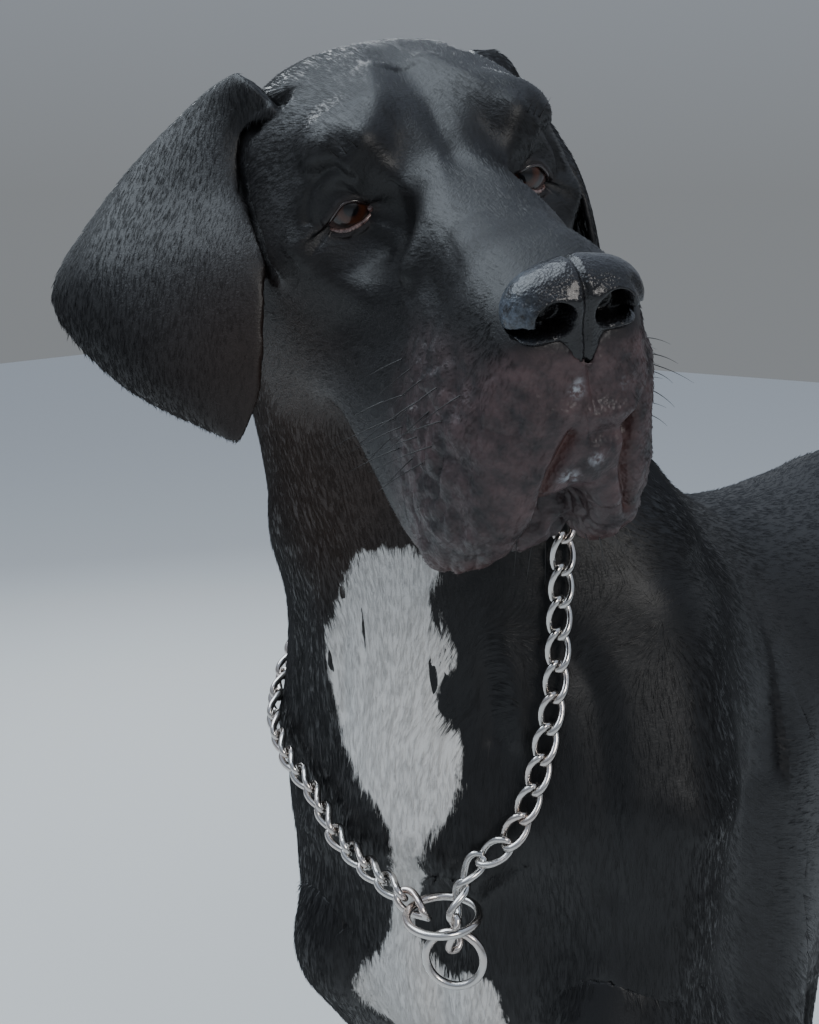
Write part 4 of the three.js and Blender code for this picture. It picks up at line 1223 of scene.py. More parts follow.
def nostril_share(p):
    """How deep each point of the nose's front lies in a nostril, from none to all the way."""
    share = np.zeros(len(p))
    for x, z, across, up in NOSTRILS:
        e = np.hypot((np.abs(p[:, 0]) - x) / across, (p[:, 2] - z) / up)
        share = np.maximum(share, smooth_step(1.15, 0.5, e))
    return share * smooth_step(-142, -149, p[:, 1])


NOSE_LINES = [
    [1.5, 1.3, [[0, -150, 4], [0, -158, -8], [0, -160, -20], [0, -158, -32], [0, -155, -42]]],
    [1.3, 1.6, [[21, -150, -8], [24, -148, -15], [24, -146, -22]]],
    [1.3, 1.6, [[-21, -150, -8], [-24, -148, -15], [-24, -146, -22]]],
    [-1.0, 2.2, [[4, -160, -10], [8, -160, -9], [13, -159, -9], [18, -156, -13]]],
    [-1.0, 2.2, [[-4, -160, -10], [-8, -160, -9], [-13, -159, -9], [-18, -156, -13]]],
]


def make_nose():
    ovals = [((0, -145, -10), (22, 15, 13)), ((15, -145, -15), (12.8, 13.5, 13))]
    ovals += [((-15, -145, -15), (12.8, 13.5, 13)), ((0, -147, -26), (9, 9, 15))]
    balls = [filling(at, half) for at, half in ovals]
    deselect_all()
    for ball in balls:
        ball.select_set(True)
    bpy.context.view_layer.objects.active = balls[0]
    bpy.ops.object.join()
    nose = bpy.context.object
    nose.name = "nose"
    remesh = nose.modifiers.new("even_faces", "REMESH")
    remesh.mode = "VOXEL"
    remesh.voxel_size = 0.0006
    apply_all(nose)
    keep_outer(nose)
    p = to_head(to_dog(points_of(nose)))
    edges = edges_of(nose)
    whole = np.ones(len(p))
    step = 0.2
    for turn in range(14):
        away = nose_form(p)
        slope = np.stack([nose_form(p + step * axis) - away for axis in np.eye(3)], 1) / step
        slope /= np.maximum(np.linalg.norm(slope, axis=1), 0.3)[:, None]
        p = p - np.clip(away, -1.5, 1.5)[:, None] * slope
        if turn < 13:
            p = relax(p, edges, 0.6 * whole, 2)
    set_points(nose, from_dog(from_head(p)))
    normal = normals_of(nose) @ HEAD_M
    lift = np.zeros(len(p))
    for depth, width, points in NOSE_LINES:
        lift -= depth * line_share(p, np.array(points, float), width, (0, -1, 0))
    pebbles = 0.12 * lattice_noise(p, 1.5, 41)
    share = nostril_share(p)
    p = p + normal * ((lift + pebbles) * (1 - share))[:, None]
    p = p + NOSTRIL_DEPTH * share[:, None] * (np.sign(p[:, :1]) * (-0.1, 0, 0) + (0, 0.96, 0.18))
    set_points(nose, from_dog(from_head(p)))
    give_attribute(nose, "inside", smooth_step(0.1, 0.5, share))
    return nose


nose = shown(make_nose(), "nose", "nose_leather")

# Claws: bent cones, a little flattened, out of the end of each toe
claws = []
for kind, x, y, size in PAWS:
    for side in (1, -1):
        for across, ahead in TOES:
            t = np.linspace(0, 1, 9)
            base = np.array([side * x + across * size, y + (ahead - 6) * size, 19 * size])
            path = base + np.stack([0 * t, -16 * t * size, (-4 * t - 7.5 * t**2) * size], 1)
            claws.append(swept(path, size * (4.6 - 3.3 * t**1.4), 12, flat=1.15))
points, faces = joined(claws)
shown(object_from("claws", from_dog(points), faces), "nose")

# Chain: twisted oval links, each through the next, along the collar's way round the neck
CHAIN_PITCH, CHAIN_WIRE, CHAIN_WIDTH, CHAIN_PROUD = 15.5, 3.7, 13.6, 5.6
CHAIN_TURN, TURN_LINKS = -78, 4
SLIP_AT, SLIP_RADIUS = np.array([35.0, -214, 674]), 17.9
END_AT, END_RADIUS, RING_WIRE = np.array([41.0, -212, 652]), 14.4, 4.2
COLLAR_ROUTE = [
    [19, 694], [28, 716], [44, 778], [58, 840], [72, 884], [100, 908], [140, 908],
    [180, 892], [225, 846], [270, 787], [310, 726], [334, 702], [346, 688],
]
collar_height = profile(COLLAR_ROUTE)
under_collar = blend(
    12, body, pair_of(forelimb, (-200, -260, 0), (200, 160, 880)), in_box(in_head(whole_head), *HEAD_BOX)
)


def slope_of(form, p, step=1.0):
    slope = np.stack([form(p + step * axis) - form(p - step * axis) for axis in np.eye(3)], 1)
    return slope / np.maximum(np.linalg.norm(slope, axis=1), 1e-9)[:, None]


def on_collar(angle):
    z = collar_height(angle)[:, 0]
    t = np.clip((z - NECK_BASE[2]) / (NECK_HEAD[2] - NECK_BASE[2]), 0, 1)[:, None]
    middle = NECK_BASE + (NECK_HEAD - NECK_BASE) * t
    middle[:, 2] = z
    away = np.stack([np.sin(np.radians(angle)), -np.cos(np.radians(angle)), 0 * z], 1)
    reach = np.zeros(len(angle))
    for stride in (12.0, 2.0, 0.3):
        for _ in range(40):
            inside = under_collar(middle + away * (reach + stride)[:, None]) < 0
            reach += stride * inside
            if not inside.any():
                break
    p = middle + away * (reach + CHAIN_PROUD)[:, None]
    for _ in range(2):
        p += slope_of(under_collar, p) * (CHAIN_PROUD - under_collar(p))[:, None]
    return p


half_link = CHAIN_PITCH / 2
end_top = END_AT + (0, 0, END_RADIUS)
slip_side = SLIP_AT - (SLIP_RADIUS, 0, 0)
fall = np.array([half_link * 0.9, 0, -half_link * 0.43])
collar_angles = np.linspace(COLLAR_ROUTE[0][0], COLLAR_ROUTE[-1][0], 49)
collar_points = np.vstack([
    end_top - (0, 0, half_link), end_top + (0, 0, half_link), on_collar(collar_angles),
    slip_side - fall, slip_side + fall,
])
fine_way = curve_through(collar_points)(np.linspace(0, 1, 3001))
way_length = np.concatenate([[0], np.cumsum(np.linalg.norm(np.diff(fine_way, axis=0), axis=1))])
link_count = round(way_length[-1] / CHAIN_PITCH)
link_pitch = way_length[-1] / link_count


def along_chain(s):
    """Places along the chain at s links from its start, and the ways along, across and out."""
    def place(s):
        far = np.clip(s, 0, link_count) * link_pitch
        return np.stack([np.interp(far, way_length, fine_way[:, k]) for k in range(3)], 1)

    at = place(s)
    along = place(s + 0.08) - place(s - 0.08)
    along /= np.linalg.norm(along, axis=1)[:, None]
    out = slope_of(under_collar, at)
    out -= (out * along).sum(1)[:, None] * along
    out /= np.linalg.norm(out, axis=1)[:, None]
    across = np.cross(out, along)
    turn = np.radians(CHAIN_TURN) * np.clip(1 - (s - 1) / TURN_LINKS, 0, 1)[:, None]
    out, across = out * np.cos(turn) - across * np.sin(turn), across * np.cos(turn) + out * np.sin(turn)
    return at, along, across, out


LINK_TWIST = 52.0


def chain_link(index):
    long = (link_pitch + CHAIN_WIRE) / 2
    wide = (CHAIN_WIDTH - CHAIN_WIRE) / 2
    a = np.linspace(0, 2 * math.pi, 36, endpoint=False)
    x = long * np.sign(np.cos(a)) * np.abs(np.cos(a)) ** 0.82
    y = wide * np.sign(np.sin(a)) * np.abs(np.sin(a)) ** 0.8
    twist = np.radians(LINK_TWIST) * x / long
    at, along, across, out = along_chain(np.array([index + 0.5]))
    sag = rng.normal(0, 0.25)
    path = at + x[:, None] * along + (y * np.cos(twist))[:, None] * across
    path += (y * np.sin(twist) + sag)[:, None] * out
    return swept(path, CHAIN_WIRE / 2, 10, closed=True, start_up=out[0])


for run in range(4):
    first, last = round(run * link_count / 4), round((run + 1) * link_count / 4)
    points, faces = joined([chain_link(i) for i in range(first, last)])
    shown(object_from(f"chain_links_{run + 1}", from_dog(points), faces), "chain", f"chain_{run + 1}")


def ring_of(at, radius, wire, facing):
    facing = np.array(facing) / np.linalg.norm(facing)
    side = np.cross(facing, (0.1, 0.2, 1.0) if abs(facing[2]) < 0.9 else (1.0, 0, 0))
    side /= np.linalg.norm(side)
    up = np.cross(facing, side)
    a = np.linspace(0, 2 * math.pi, 72, endpoint=False)[:, None]
    weld = 1 + 0.07 * np.exp(-(((a[:, 0] - 4.2) / 0.09) ** 2))
    return swept(at + radius * (np.cos(a) * side + np.sin(a) * up), wire / 2 * weld, 16, closed=True)


tip, yaw = math.radians(-6), math.radians(24)
points, faces = ring_of(SLIP_AT, SLIP_RADIUS, RING_WIRE, (0, math.sin(tip), 1))
shown(object_from("ring_slip", from_dog(points), faces), "chain", "slip_ring")
points, faces = ring_of(END_AT, END_RADIUS, RING_WIRE, (math.sin(yaw), -math.cos(yaw), 0))
shown(object_from("ring_end", from_dog(points), faces), "chain", "end_ring")

# Markings, worked out from the place of each point on the body
# The white blaze on the chest as seen from in front: x, z down its right edge and up its left
BLAZE = [
    [-25, 846], [-42, 822], [-52, 794], [-52, 764], [-44, 735], [-26, 717], [-13, 702], [-11, 687],
    [-24, 655], [-38, 615], [-60, 592], [-66, 566], [-48, 532], [-16, 505], [16, 512], [38, 545],
    [40, 592], [34, 614], [22, 618], [4, 610], [-10, 622], [-16, 636], [-4, 668], [4, 684],
    [12, 700], [24, 720], [28, 740], [26, 756], [17, 768], [16, 780], [23, 792], [22, 806],
    [12, 815], [12, 830], [17, 840], [2, 852],
]
# Painted reflections: spots on the wet front of the lips where blue-grey glints of the sky are painted, [x, y, z,
# radius] in the head's frame
LIP_GLINT_SPOTS = [[-5, -153, -45, 5], [1, -153, -74, 4], [-10, -152, -81, 5], [14, -152, -48, 3], [-17, -150, -60, 3]]
NECK_TINT = [[-55, -228, 943], [-52, -213, 902], [-40, -206, 862], [-18, -206, 885]]


def outline_distance(flat, outline):
    """Below zero inside a closed outline, and the distance to it."""
    line = np.hstack([outline, np.zeros((len(outline), 1))])
    d = line_distance(np.hstack([flat, np.zeros((len(flat), 1))]), line)
    inside = np.zeros(len(flat), bool)
    for (ax, ay), (bx, by) in zip(outline[:-1], outline[1:]):
        crosses = (ay > flat[:, 1]) != (by > flat[:, 1])
        reach = ax + (flat[:, 1] - ay) / (by - ay if by != ay else 1e-9) * (bx - ax)
        inside ^= crosses & (flat[:, 0] < reach)
    return np.where(inside, -d, d)


def markings(dog, on_ear):
    p = to_head(dog)
    n = len(dog)
    made = {}
    blaze_line = curve_through(BLAZE + BLAZE[:1])(np.linspace(0, 1, 110))
    blaze = np.full(n, 60.0)
    near = np.nonzero((dog[:, 1] < -90) & (dog[:, 2] > 470) & (dog[:, 2] < 880) & (np.abs(dog[:, 0]) < 110))[0]
    blaze[near] = outline_distance(dog[near][:, (0, 2)], blaze_line)
    made["blaze"] = blaze
    face = 1 - on_ear
    flew = flew_share(p) * face
    below_nose = smooth_step(-136, -148, p[:, 1]) * smooth_step(-24, -34, p[:, 2]) * smooth_step(-112, -100, p[:, 2]) * face
    made["bare"] = np.clip(np.maximum(0.75 * flew, below_nose), 0, 1)
    lip = np.zeros(n)
    for _, _, points in LIP_LINES[:2]:
        lip = np.maximum(lip, line_share(p, np.array(points, float), 2.4, (-0.1, -1, -0.1)))
    low_edge = smooth_step(7, 0, np.abs(hang(flews)(p) + 2)) * smooth_step(-112, -128, p[:, 2])
    made["lip"] = np.clip(np.maximum(lip, 0.8 * low_edge) * np.maximum(flew, below_nose), 0, 1)
    # Spots of painted sky reflection on the wet lips
    pale = np.zeros(n)
    for x, y, z, r in LIP_GLINT_SPOTS:
        pale = np.maximum(pale, 1 - smooth_step(0.4 * r, r, np.linalg.norm(p - (x, y, z), axis=1)))
    made["pale"] = pale
    tint_line = np.array(NECK_TINT, float)
    made["tint"] = np.exp(-((line_distance(dog, tint_line) / 42) ** 2)) * (p[:, 1] > -40)
    rim = np.full(n, 30.0)
    for side in (1, -1):
        inward, up, ahead = eye_axes(side)
        away = p - (side * EYE_X, EYE_Y, 0)
        r = np.linalg.norm(away, axis=1)
        close = np.nonzero((r < 18) & (away @ ahead > 0))[0]
        on_lids = away[close] / r[close][:, None] * (EYE_R + LID_THICK)
        rim[close] = opening_distance(np.stack([on_lids @ inward, on_lids @ up], 1))
    made["lid_edge"] = rim
    return made


skin_points = to_dog(points_of(skin))
skin_normal = normals_of(skin)
skin_head = to_head(skin_points)
skin_edges = edges_of(skin)
skin_ear = spread(smooth_step(-3, 3, np.abs(flesh(skin_points)) - near_ear(skin_head)), skin_edges, 4)
skin_marks = markings(skin_points, skin_ear)


# How the coat lies: back along the head and trunk, down the neck, chest and legs, and to each tip
def coat_lie(dog, normal, on_ear):
    p = to_head(dog)
    side = np.sign(p[:, :1] + 1e-9)
    cheek = smooth_step(0, 40, np.abs(p[:, 0]))[:, None]
    face = np.array([0, 1.0, 0.12]) + cheek * ([0, 0, -0.55])
    muzzle_front = smooth_step(-122, -146, p[:, 1])[:, None]
    face = face * (1 - muzzle_front) + muzzle_front * (np.array([0, 0.1, -1.0]) + side * (0.5, 0, 0))
    ear_way = np.hstack([side[:, 0:1] * 48, np.full((len(p), 1), -42.0), np.full((len(p), 1), -134.0)]) / 150
    face = (face * (1 - on_ear[:, None]) + ear_way * on_ear[:, None]) @ HEAD_M.T
    neck_way = (NECK_BASE - NECK_HEAD) / np.linalg.norm(NECK_BASE - NECK_HEAD)
    behind = smooth_step(70, 120, p[:, 1] - 0.4 * p[:, 2])
    under = smooth_step(-92, -120, p[:, 2]) * smooth_step(-60, 20, p[:, 1])
    far = smooth_step(190, 250, np.linalg.norm(p - (0, -30, -40), axis=1))
    off_head = np.clip(np.maximum(np.maximum(behind, under), far) * (1 - on_ear), 0, 1)[:, None]
    x, y, z = dog.T
    trunk_way = np.stack([0 * x, 0 * x + 1.0, -0.25 - 0.5 * smooth_step(700, 500, z)], 1)
    down = np.stack([0 * x, 0 * x + 0.15, 0 * x - 1.0], 1)
    front = smooth_step(40, -120, y)[:, None]
    legs = smooth_step(600, 470, z)[:, None]
    rear = smooth_step(560, 640, y)[:, None]
    body_way = trunk_way * (1 - np.maximum(np.maximum(front, legs), rear)) + down * np.maximum(np.maximum(front, legs), rear)
    upper = smooth_step(760, 860, z)[:, None] * smooth_step(0, -80, y)[:, None]
    body_way = body_way * (1 - upper) + neck_way * upper
    lie = face * (1 - off_head) + body_way * off_head
    lie = lie - (lie * normal).sum(1)[:, None] * normal
    return lie / np.maximum(np.linalg.norm(lie, axis=1), 1e-6)[:, None]


# Tufts of the coat: how many to a square centimetre, and how long and wide they are, in mm
def coat_growth(dog, normal, on_ear, marks):
    p = to_head(dog)
    x, y, z = dog.T
    face = 1 - smooth_step(120, 175, np.linalg.norm(p - (0, -70, -45), axis=1))
    head = 1 - smooth_step(150, 230, np.linalg.norm(p - (0, -10, -30), axis=1))
    seen = smooth_step(120, -60, y) * smooth_step(440, 560, z)
    feet = smooth_step(120, 70, z)
    legs = smooth_step(470, 400, z)
    amount = 7.5 + 15 * seen + 14 * head + 6 * face + 6 * legs + 6 * feet
    length = 9.5 - 1.5 * seen + (6.0 - 8.0) * head + (3.6 - 6.0) * face - 2.5 * legs - 2.5 * feet
    width = 0.62 - 0.18 * np.maximum(seen, head) - 0.12 * face - 0.1 * legs
    muzzle = smooth_step(-60, -120, p[:, 1]) * face
    length = length - 0.8 * muzzle
    rear = smooth_step(600, 640, y) * smooth_step(330, 420, z)
    length = length + 4 * rear * (1 - legs)
    sole = smooth_step(-0.35, -0.75, normal[:, 2]) * smooth_step(60, 30, z)
    amount = amount * (1 - sole) * smooth_step(0.5, 4.0, z)
    # Fewer tufts on the bare flews and lip edges, and where the sky's glints are painted on the lips
    amount = amount * (1 - 0.7 * marks["bare"]) * (1 - 0.9 * marks["lip"]) * (1 - 0.8 * marks["pale"])
    amount = amount * smooth_step(0.8, 2.6, marks["lid_edge"])
    around_eye = smooth_step(14, 4, marks["lid_edge"])
    length = length * (1 - 0.45 * around_eye) * (1 - 0.35 * on_ear)
    in_nose = (nose_form(p) < 3.0) & (p[:, 1] < -128)
    in_mouth = (p[:, 1] < -90) & (np.abs(p[:, 0]) < 17) & (p[:, 2] < -58)
    amount = np.where(in_nose | in_mouth, 0, amount)
    return amount, length, width


def triangles_of(piece):
    corners = np.empty(len(piece.data.loops), np.int32)
    piece.data.loops.foreach_get("vertex_index", corners)
    return corners.reshape(-1, 3)


# The skin's own unwrap, which its coat shares
choose(skin)
bpy.ops.object.mode_set(mode="EDIT")
bpy.ops.mesh.select_all(action="SELECT")
bpy.ops.mesh.quads_convert_to_tris()
bpy.ops.uv.smart_project(angle_limit=math.radians(66), island_margin=0.0005)
bpy.ops.object.mode_set(mode="OBJECT")
skin.data.uv_layers[0].name = "OFBake"
skin_uv = np.empty(len(skin.data.loops) * 2, np.float32)
skin.data.uv_layers["OFBake"].data.foreach_get("uv", skin_uv)
skin_uv = skin_uv.reshape(-1, 3, 2)
skin_faces = triangles_of(skin)
for name, values in skin_marks.items():
    give_attribute(skin, name, values)
give_attribute(skin, "on_ear", skin_ear)
give_attribute(skin, "face", 1 - smooth_step(150, 230, np.linalg.norm(skin_head - (0, -10, -30), axis=1)))

# Roots are strewn over the skin's faces by their area and the coat's thickness there
amount, _, _ = coat_growth(skin_points, skin_normal, skin_ear, skin_marks)
corner = skin_points[skin_faces]
area = np.linalg.norm(np.cross(corner[:, 1] - corner[:, 0], corner[:, 2] - corner[:, 0]), axis=1) / 2
face_amount = amount[skin_faces].mean(1)
face_amount[amount[skin_faces].min(1) <= 0] = 0
expected = area / 100 * face_amount
TUFT_SHARE = 1.0
counts = rng.poisson(expected * TUFT_SHARE)
rooted = np.repeat(np.arange(len(skin_faces)), counts)
rng.shuffle(rooted)
share = rng.random((len(rooted), 2))
over = share.sum(1) > 1
share[over] = 1 - share[over]
share = np.column_stack([1 - share.sum(1), share])


def between_corners(values):
    return (values[skin_faces[rooted]] * (share if values.ndim == 1 else share[:, :, None])).sum(1)


root = between_corners(skin_points)
root_normal = between_corners(skin_normal)
root_normal /= np.linalg.norm(root_normal, axis=1)[:, None]
root_ear = between_corners(skin_ear)
root_uv = (skin_uv[rooted] * share[:, :, None]).sum(1)
root_marks = markings(root, root_ear)
_, tuft_length, tuft_width = coat_growth(root, root_normal, root_ear, root_marks)
lie = coat_lie(root, root_normal, root_ear)
swirl = 0.16 * np.stack([lattice_noise(root, 26, k) for k in (61, 62, 63)], 1)
lie = lie + swirl + rng.normal(0, 0.09, lie.shape)
lie -= (lie * root_normal).sum(1)[:, None] * root_normal
lie /= np.linalg.norm(lie, axis=1)[:, None]
print("tufts", len(root))

# A tuft is a thin flat blade of three sides: its root in the skin and its point back along the lie
TUFT_RISE = 5.5
MOST_TUFTS = 49000


def make_tufts(label, picked):
    count = len(picked)
    rise = np.radians(TUFT_RISE + rng.normal(0, 2.0, count))[:, None]
    at, out, way = root[picked], root_normal[picked], lie[picked]
    side = np.cross(out, way)
    long = (tuft_length[picked] * rng.uniform(0.7, 1.25, count))[:, None]
    half = (tuft_width[picked] * rng.uniform(0.38, 0.6, count))[:, None]
    points = np.empty((count, 4, 3))
    points[:, 0] = at - 0.3 * out + half * side
    points[:, 1] = at - 0.3 * out - half * side
    points[:, 2] = at + 0.18 * out
    bend = rng.normal(0, 0.04, (count, 1))
    points[:, 3] = at + long * (np.cos(rise) * way + np.sin(rise) * out + bend * side)
    points[:, :, 2] = np.maximum(points[:, :, 2], 0.3)
    corners = np.arange(count)[:, None, None] * 4 + np.array([[0, 1, 2], [0, 3, 1], [1, 3, 2], [2, 3, 0]])
    corners = corners.reshape(-1)
    mesh = bpy.data.meshes.new(label)
    mesh.vertices.add(count * 4)
    mesh.vertices.foreach_set("co", from_dog(points.reshape(-1, 3)).ravel())
    mesh.loops.add(len(corners))
    mesh.loops.foreach_set("vertex_index", corners.astype(np.int32))
    mesh.polygons.add(len(corners) // 3)
    mesh.polygons.foreach_set("loop_start", np.arange(0, len(corners), 3, dtype=np.int32))
    mesh.update(calc_edges=True)
    layer = mesh.uv_layers.new(name="OFBake")
    patch = np.array([[-1, -1], [1, -1], [0, -0.4], [0, 1]]) * 0.0015
    place = (root_uv[picked][:, None] + patch).reshape(-1, 2)[corners]
    layer.data.foreach_set("uv", place.astype(np.float32).ravel())
    piece = bpy.data.objects.new(label, mesh)
    bpy.context.scene.collection.objects.link(piece)
    for name, values in root_marks.items():
        give_attribute(piece, name, np.repeat(values[picked], 4))
    give_attribute(piece, "shade", np.repeat(rng.uniform(0, 1, count), 4))
    shading = np.empty((count, 4, 3))
    shading[:, 0] = out + 0.55 * side
    shading[:, 1] = out - 0.55 * side
    shading[:, 2] = out - 0.1 * way
    shading[:, 3] = out + 0.12 * way + rng.normal(0, 0.08, (count, 3))
    shading /= np.linalg.norm(shading, axis=2)[:, :, None]
    mesh.shade_smooth()
    made = mesh.attributes.new("custom_normal", "FLOAT_VECTOR", "POINT")
    made.data.foreach_set("vector", shading.astype(np.float32).ravel())
    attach(piece, "root")
    return piece


# Materials
def material(name, roughness=0.5, metallic=0.0, colour=None, **sockets):
    made = bpy.data.materials.new(name)
    made.use_nodes = True
    shader = made.node_tree.nodes["Principled BSDF"]
    shader.inputs["Roughness"].default_value = roughness
    shader.inputs["Metallic"].default_value = metallic
    if colour is not None:
        shader.inputs["Base Color"].default_value = (*colour, 1)
    for socket, value in sockets.items():
        shader.inputs[socket.replace("_", " ")].default_value = value
    return made, made.node_tree, shader


def put(tree, socket, value):
    if isinstance(value, bpy.types.NodeSocket):
        tree.links.new(value, socket)
    elif isinstance(value, (tuple, list)) and socket.type == "RGBA":
        socket.default_value = (*value, 1)
    else:
        socket.default_value = value


def attribute(tree, name):
    node = tree.nodes.new("ShaderNodeAttribute")
    node.attribute_name = name
    return node.outputs["Fac"]


def here(tree, stretch=(1, 1, 1), turn=(0, 0, 0)):
    place = tree.nodes.new("ShaderNodeTexCoord")
    mapping = tree.nodes.new("ShaderNodeMapping")
    mapping.inputs["Scale"].default_value = stretch
    mapping.inputs["Rotation"].default_value = turn
    tree.links.new(place.outputs["Object"], mapping.inputs["Vector"])
    return mapping.outputs["Vector"]


def noise(tree, where, scale, detail=3.0, rough=0.55):
    node = tree.nodes.new("ShaderNodeTexNoise")
    put(tree, node.inputs["Vector"], where)
    node.inputs["Scale"].default_value = scale
    node.inputs["Detail"].default_value = detail
    node.inputs["Roughness"].default_value = rough
    return node.outputs["Fac"]


def cells(tree, where, scale, feature="F1"):
    node = tree.nodes.new("ShaderNodeTexVoronoi")
    node.feature = feature
    put(tree, node.inputs["Vector"], where)
    node.inputs["Scale"].default_value = scale
    return node.outputs["Distance"]


def sums(tree, how, a, b, clamp=False):
    node = tree.nodes.new("ShaderNodeMath")
    node.operation = how
    node.use_clamp = clamp
    put(tree, node.inputs[0], a)
    put(tree, node.inputs[1], b)
    return node.outputs[0]


def between(tree, value, low, high, to_low=0.0, to_high=1.0):
    node = tree.nodes.new("ShaderNodeMapRange")
    put(tree, node.inputs["Value"], value)
    node.inputs["From Min"].default_value = low
    node.inputs["From Max"].default_value = high
    node.inputs["To Min"].default_value = to_low
    node.inputs["To Max"].default_value = to_high
    return node.outputs["Result"]


def mixed(tree, share, a, b):
    node = tree.nodes.new("ShaderNodeMix")
    node.data_type = "RGBA"
    put(tree, node.inputs[0], share)
    put(tree, node.inputs[6], a)
    put(tree, node.inputs[7], b)
    return node.outputs[2]


def bumped(tree, shader, height, depth, strength=1.0):
    node = tree.nodes.new("ShaderNodeBump")
    node.inputs["Strength"].default_value = strength
    node.inputs["Distance"].default_value = depth
    put(tree, node.inputs["Height"], height)
    tree.links.new(node.outputs["Normal"], shader.inputs["Normal"])


BROWN_FUR, WHITE_FUR = (0.040, 0.021, 0.013), (0.74, 0.72, 0.69)
# The last of these colours is a painted reflection: the blue-grey of the sky as seen in the wet lips.
FLEW_SKIN, LIP_SKIN, LIP_GLINT_COLOUR = (0.088, 0.056, 0.058), (0.075, 0.034, 0.031), (0.30, 0.32, 0.35)


def coat_colour(tree, fur):
    """The markings over a fur colour: tinted neck, bare flews, lip edges, painted sky glints on the lips, white blaze.
    """
    rough_edge = sums(tree, "MULTIPLY", noise(tree, here(tree, (1, 1, 0.35)), 160, 4, 0.7), 15.0)
    blaze = sums(tree, "ADD", attribute(tree, "blaze"), sums(tree, "SUBTRACT", rough_edge, 7.5))
    ticks = noise(tree, here(tree, (1, 1, 0.22)), 120, 2, 0.5)
    blaze = sums(tree, "ADD", blaze, between(tree, ticks, 0.66, 0.72, 0, 24))
    mottle = between(tree, noise(tree, here(tree), 95, 4, 0.6), 0.35, 0.65)
    colour = mixed(tree, sums(tree, "MULTIPLY", attribute(tree, "tint"), 0.8), fur, BROWN_FUR)
    flew = mixed(tree, mottle, (0.022, 0.018, 0.020), FLEW_SKIN)
    colour = mixed(tree, attribute(tree, "bare"), colour, flew)
    lip = sums(tree, "MULTIPLY", attribute(tree, "lip"), between(tree, mottle, 0, 1, 0.55, 1.0))
    colour = mixed(tree, lip, colour, LIP_SKIN)
    # The painted sky glints on the lips, broken up by fine noise
    pale = sums(tree, "MULTIPLY", attribute(tree, "pale"), between(tree, noise(tree, here(tree), 420, 3), 0.4, 0.6))
    colour = mixed(tree, pale, colour, LIP_GLINT_COLOUR)
    lids = between(tree, attribute(tree, "lid_edge"), 3.2, 1.2)
    colour = mixed(tree, lids, colour, (0.012, 0.009, 0.009))
    return mixed(tree, between(tree, blaze, 1.0, -1.0), colour, WHITE_FUR)


def skin_material():
    made, tree, shader = material("skin_black", 0.42, Specular_IOR_Level=0.45)
    broad = noise(tree, here(tree), 7, 3)
    fur = mixed(tree, broad, (0.0035, 0.0035, 0.0042), (0.008, 0.0078, 0.0088))
    put(tree, shader.inputs["Base Color"], coat_colour(tree, fur))
    head_turn = (0, 0, math.radians(-HEAD_YAW))
    on_head = noise(tree, here(tree, (1, 0.12, 1), head_turn), 900, 2, 0.6)
    down = noise(tree, here(tree, (1, 1, 0.12)), 620, 2, 0.6)
    back = noise(tree, here(tree, (1, 0.12, 1)), 620, 2, 0.6)
    face = attribute(tree, "face")
    streaks = tree.nodes.new("ShaderNodeMix")
    put(tree, streaks.inputs[0], face)
    put(tree, streaks.inputs[2], sums(tree, "ADD", sums(tree, "MULTIPLY", down, 0.5), sums(tree, "MULTIPLY", back, 0.5)))
    put(tree, streaks.inputs[3], on_head)
    pores = cells(tree, here(tree), 560)
    bare = sums(tree, "MAXIMUM", attribute(tree, "bare"), attribute(tree, "lip"))
    height = tree.nodes.new("ShaderNodeMix")
    put(tree, height.inputs[0], bare)
    put(tree, height.inputs[2], streaks.outputs[0])
    put(tree, height.inputs[3], sums(tree, "MULTIPLY", pores, 1.2))
    bumped(tree, shader, height.outputs[0], 0.0004, 0.6)
    wet = between(tree, bare, 0, 1, 0.45, 0.42)
    put(tree, shader.inputs["Roughness"], sums(tree, "ADD", wet, between(tree, broad, 0.3, 0.7, -0.04, 0.05)))
    return made


def tuft_material():
    made, tree, shader = material("fur_tufts", 0.4, Specular_IOR_Level=0.5)
    shade = attribute(tree, "shade")
    fur = mixed(tree, shade, (0.0035, 0.0035, 0.0042), (0.010, 0.0098, 0.011))
    put(tree, shader.inputs["Base Color"], coat_colour(tree, fur))
    put(tree, shader.inputs["Roughness"], between(tree, shade, 0, 1, 0.38, 0.50))
    return made


def nose_material():
    made, tree, shader = material("nose_moist", 0.3, Coat_Weight=0.4, Coat_Roughness=0.12, Specular_IOR_Level=0.35)
    # Painted reflection: a pale blue-grey patch stands for the sky's highlight on the right wing and top of the nose,
    # and it is also made rougher and crusted like dry leather.
    dry = attribute(tree, "dry")
    crust = between(tree, noise(tree, here(tree), 330, 5, 0.7), 0.36, 0.58)
    dry = sums(tree, "MULTIPLY", dry, crust)
    colour = mixed(tree, noise(tree, here(tree), 120, 3), (0.004, 0.004, 0.005), (0.011, 0.0105, 0.012))
    colour = mixed(tree, dry, colour, (0.10, 0.125, 0.16))
    inside = attribute(tree, "inside")
    put(tree, shader.inputs["Base Color"], mixed(tree, inside, colour, (0.0015, 0.0012, 0.0012)))
    put(tree, shader.inputs["Roughness"], between(tree, dry, 0, 1, 0.24, 0.6))
    pebbles = cells(tree, here(tree), 900)
    fine = noise(tree, here(tree), 1500, 2)
    bumped(tree, shader, sums(tree, "ADD", pebbles, sums(tree, "MULTIPLY", fine, 0.4)), 0.0005, 0.6)
    return made


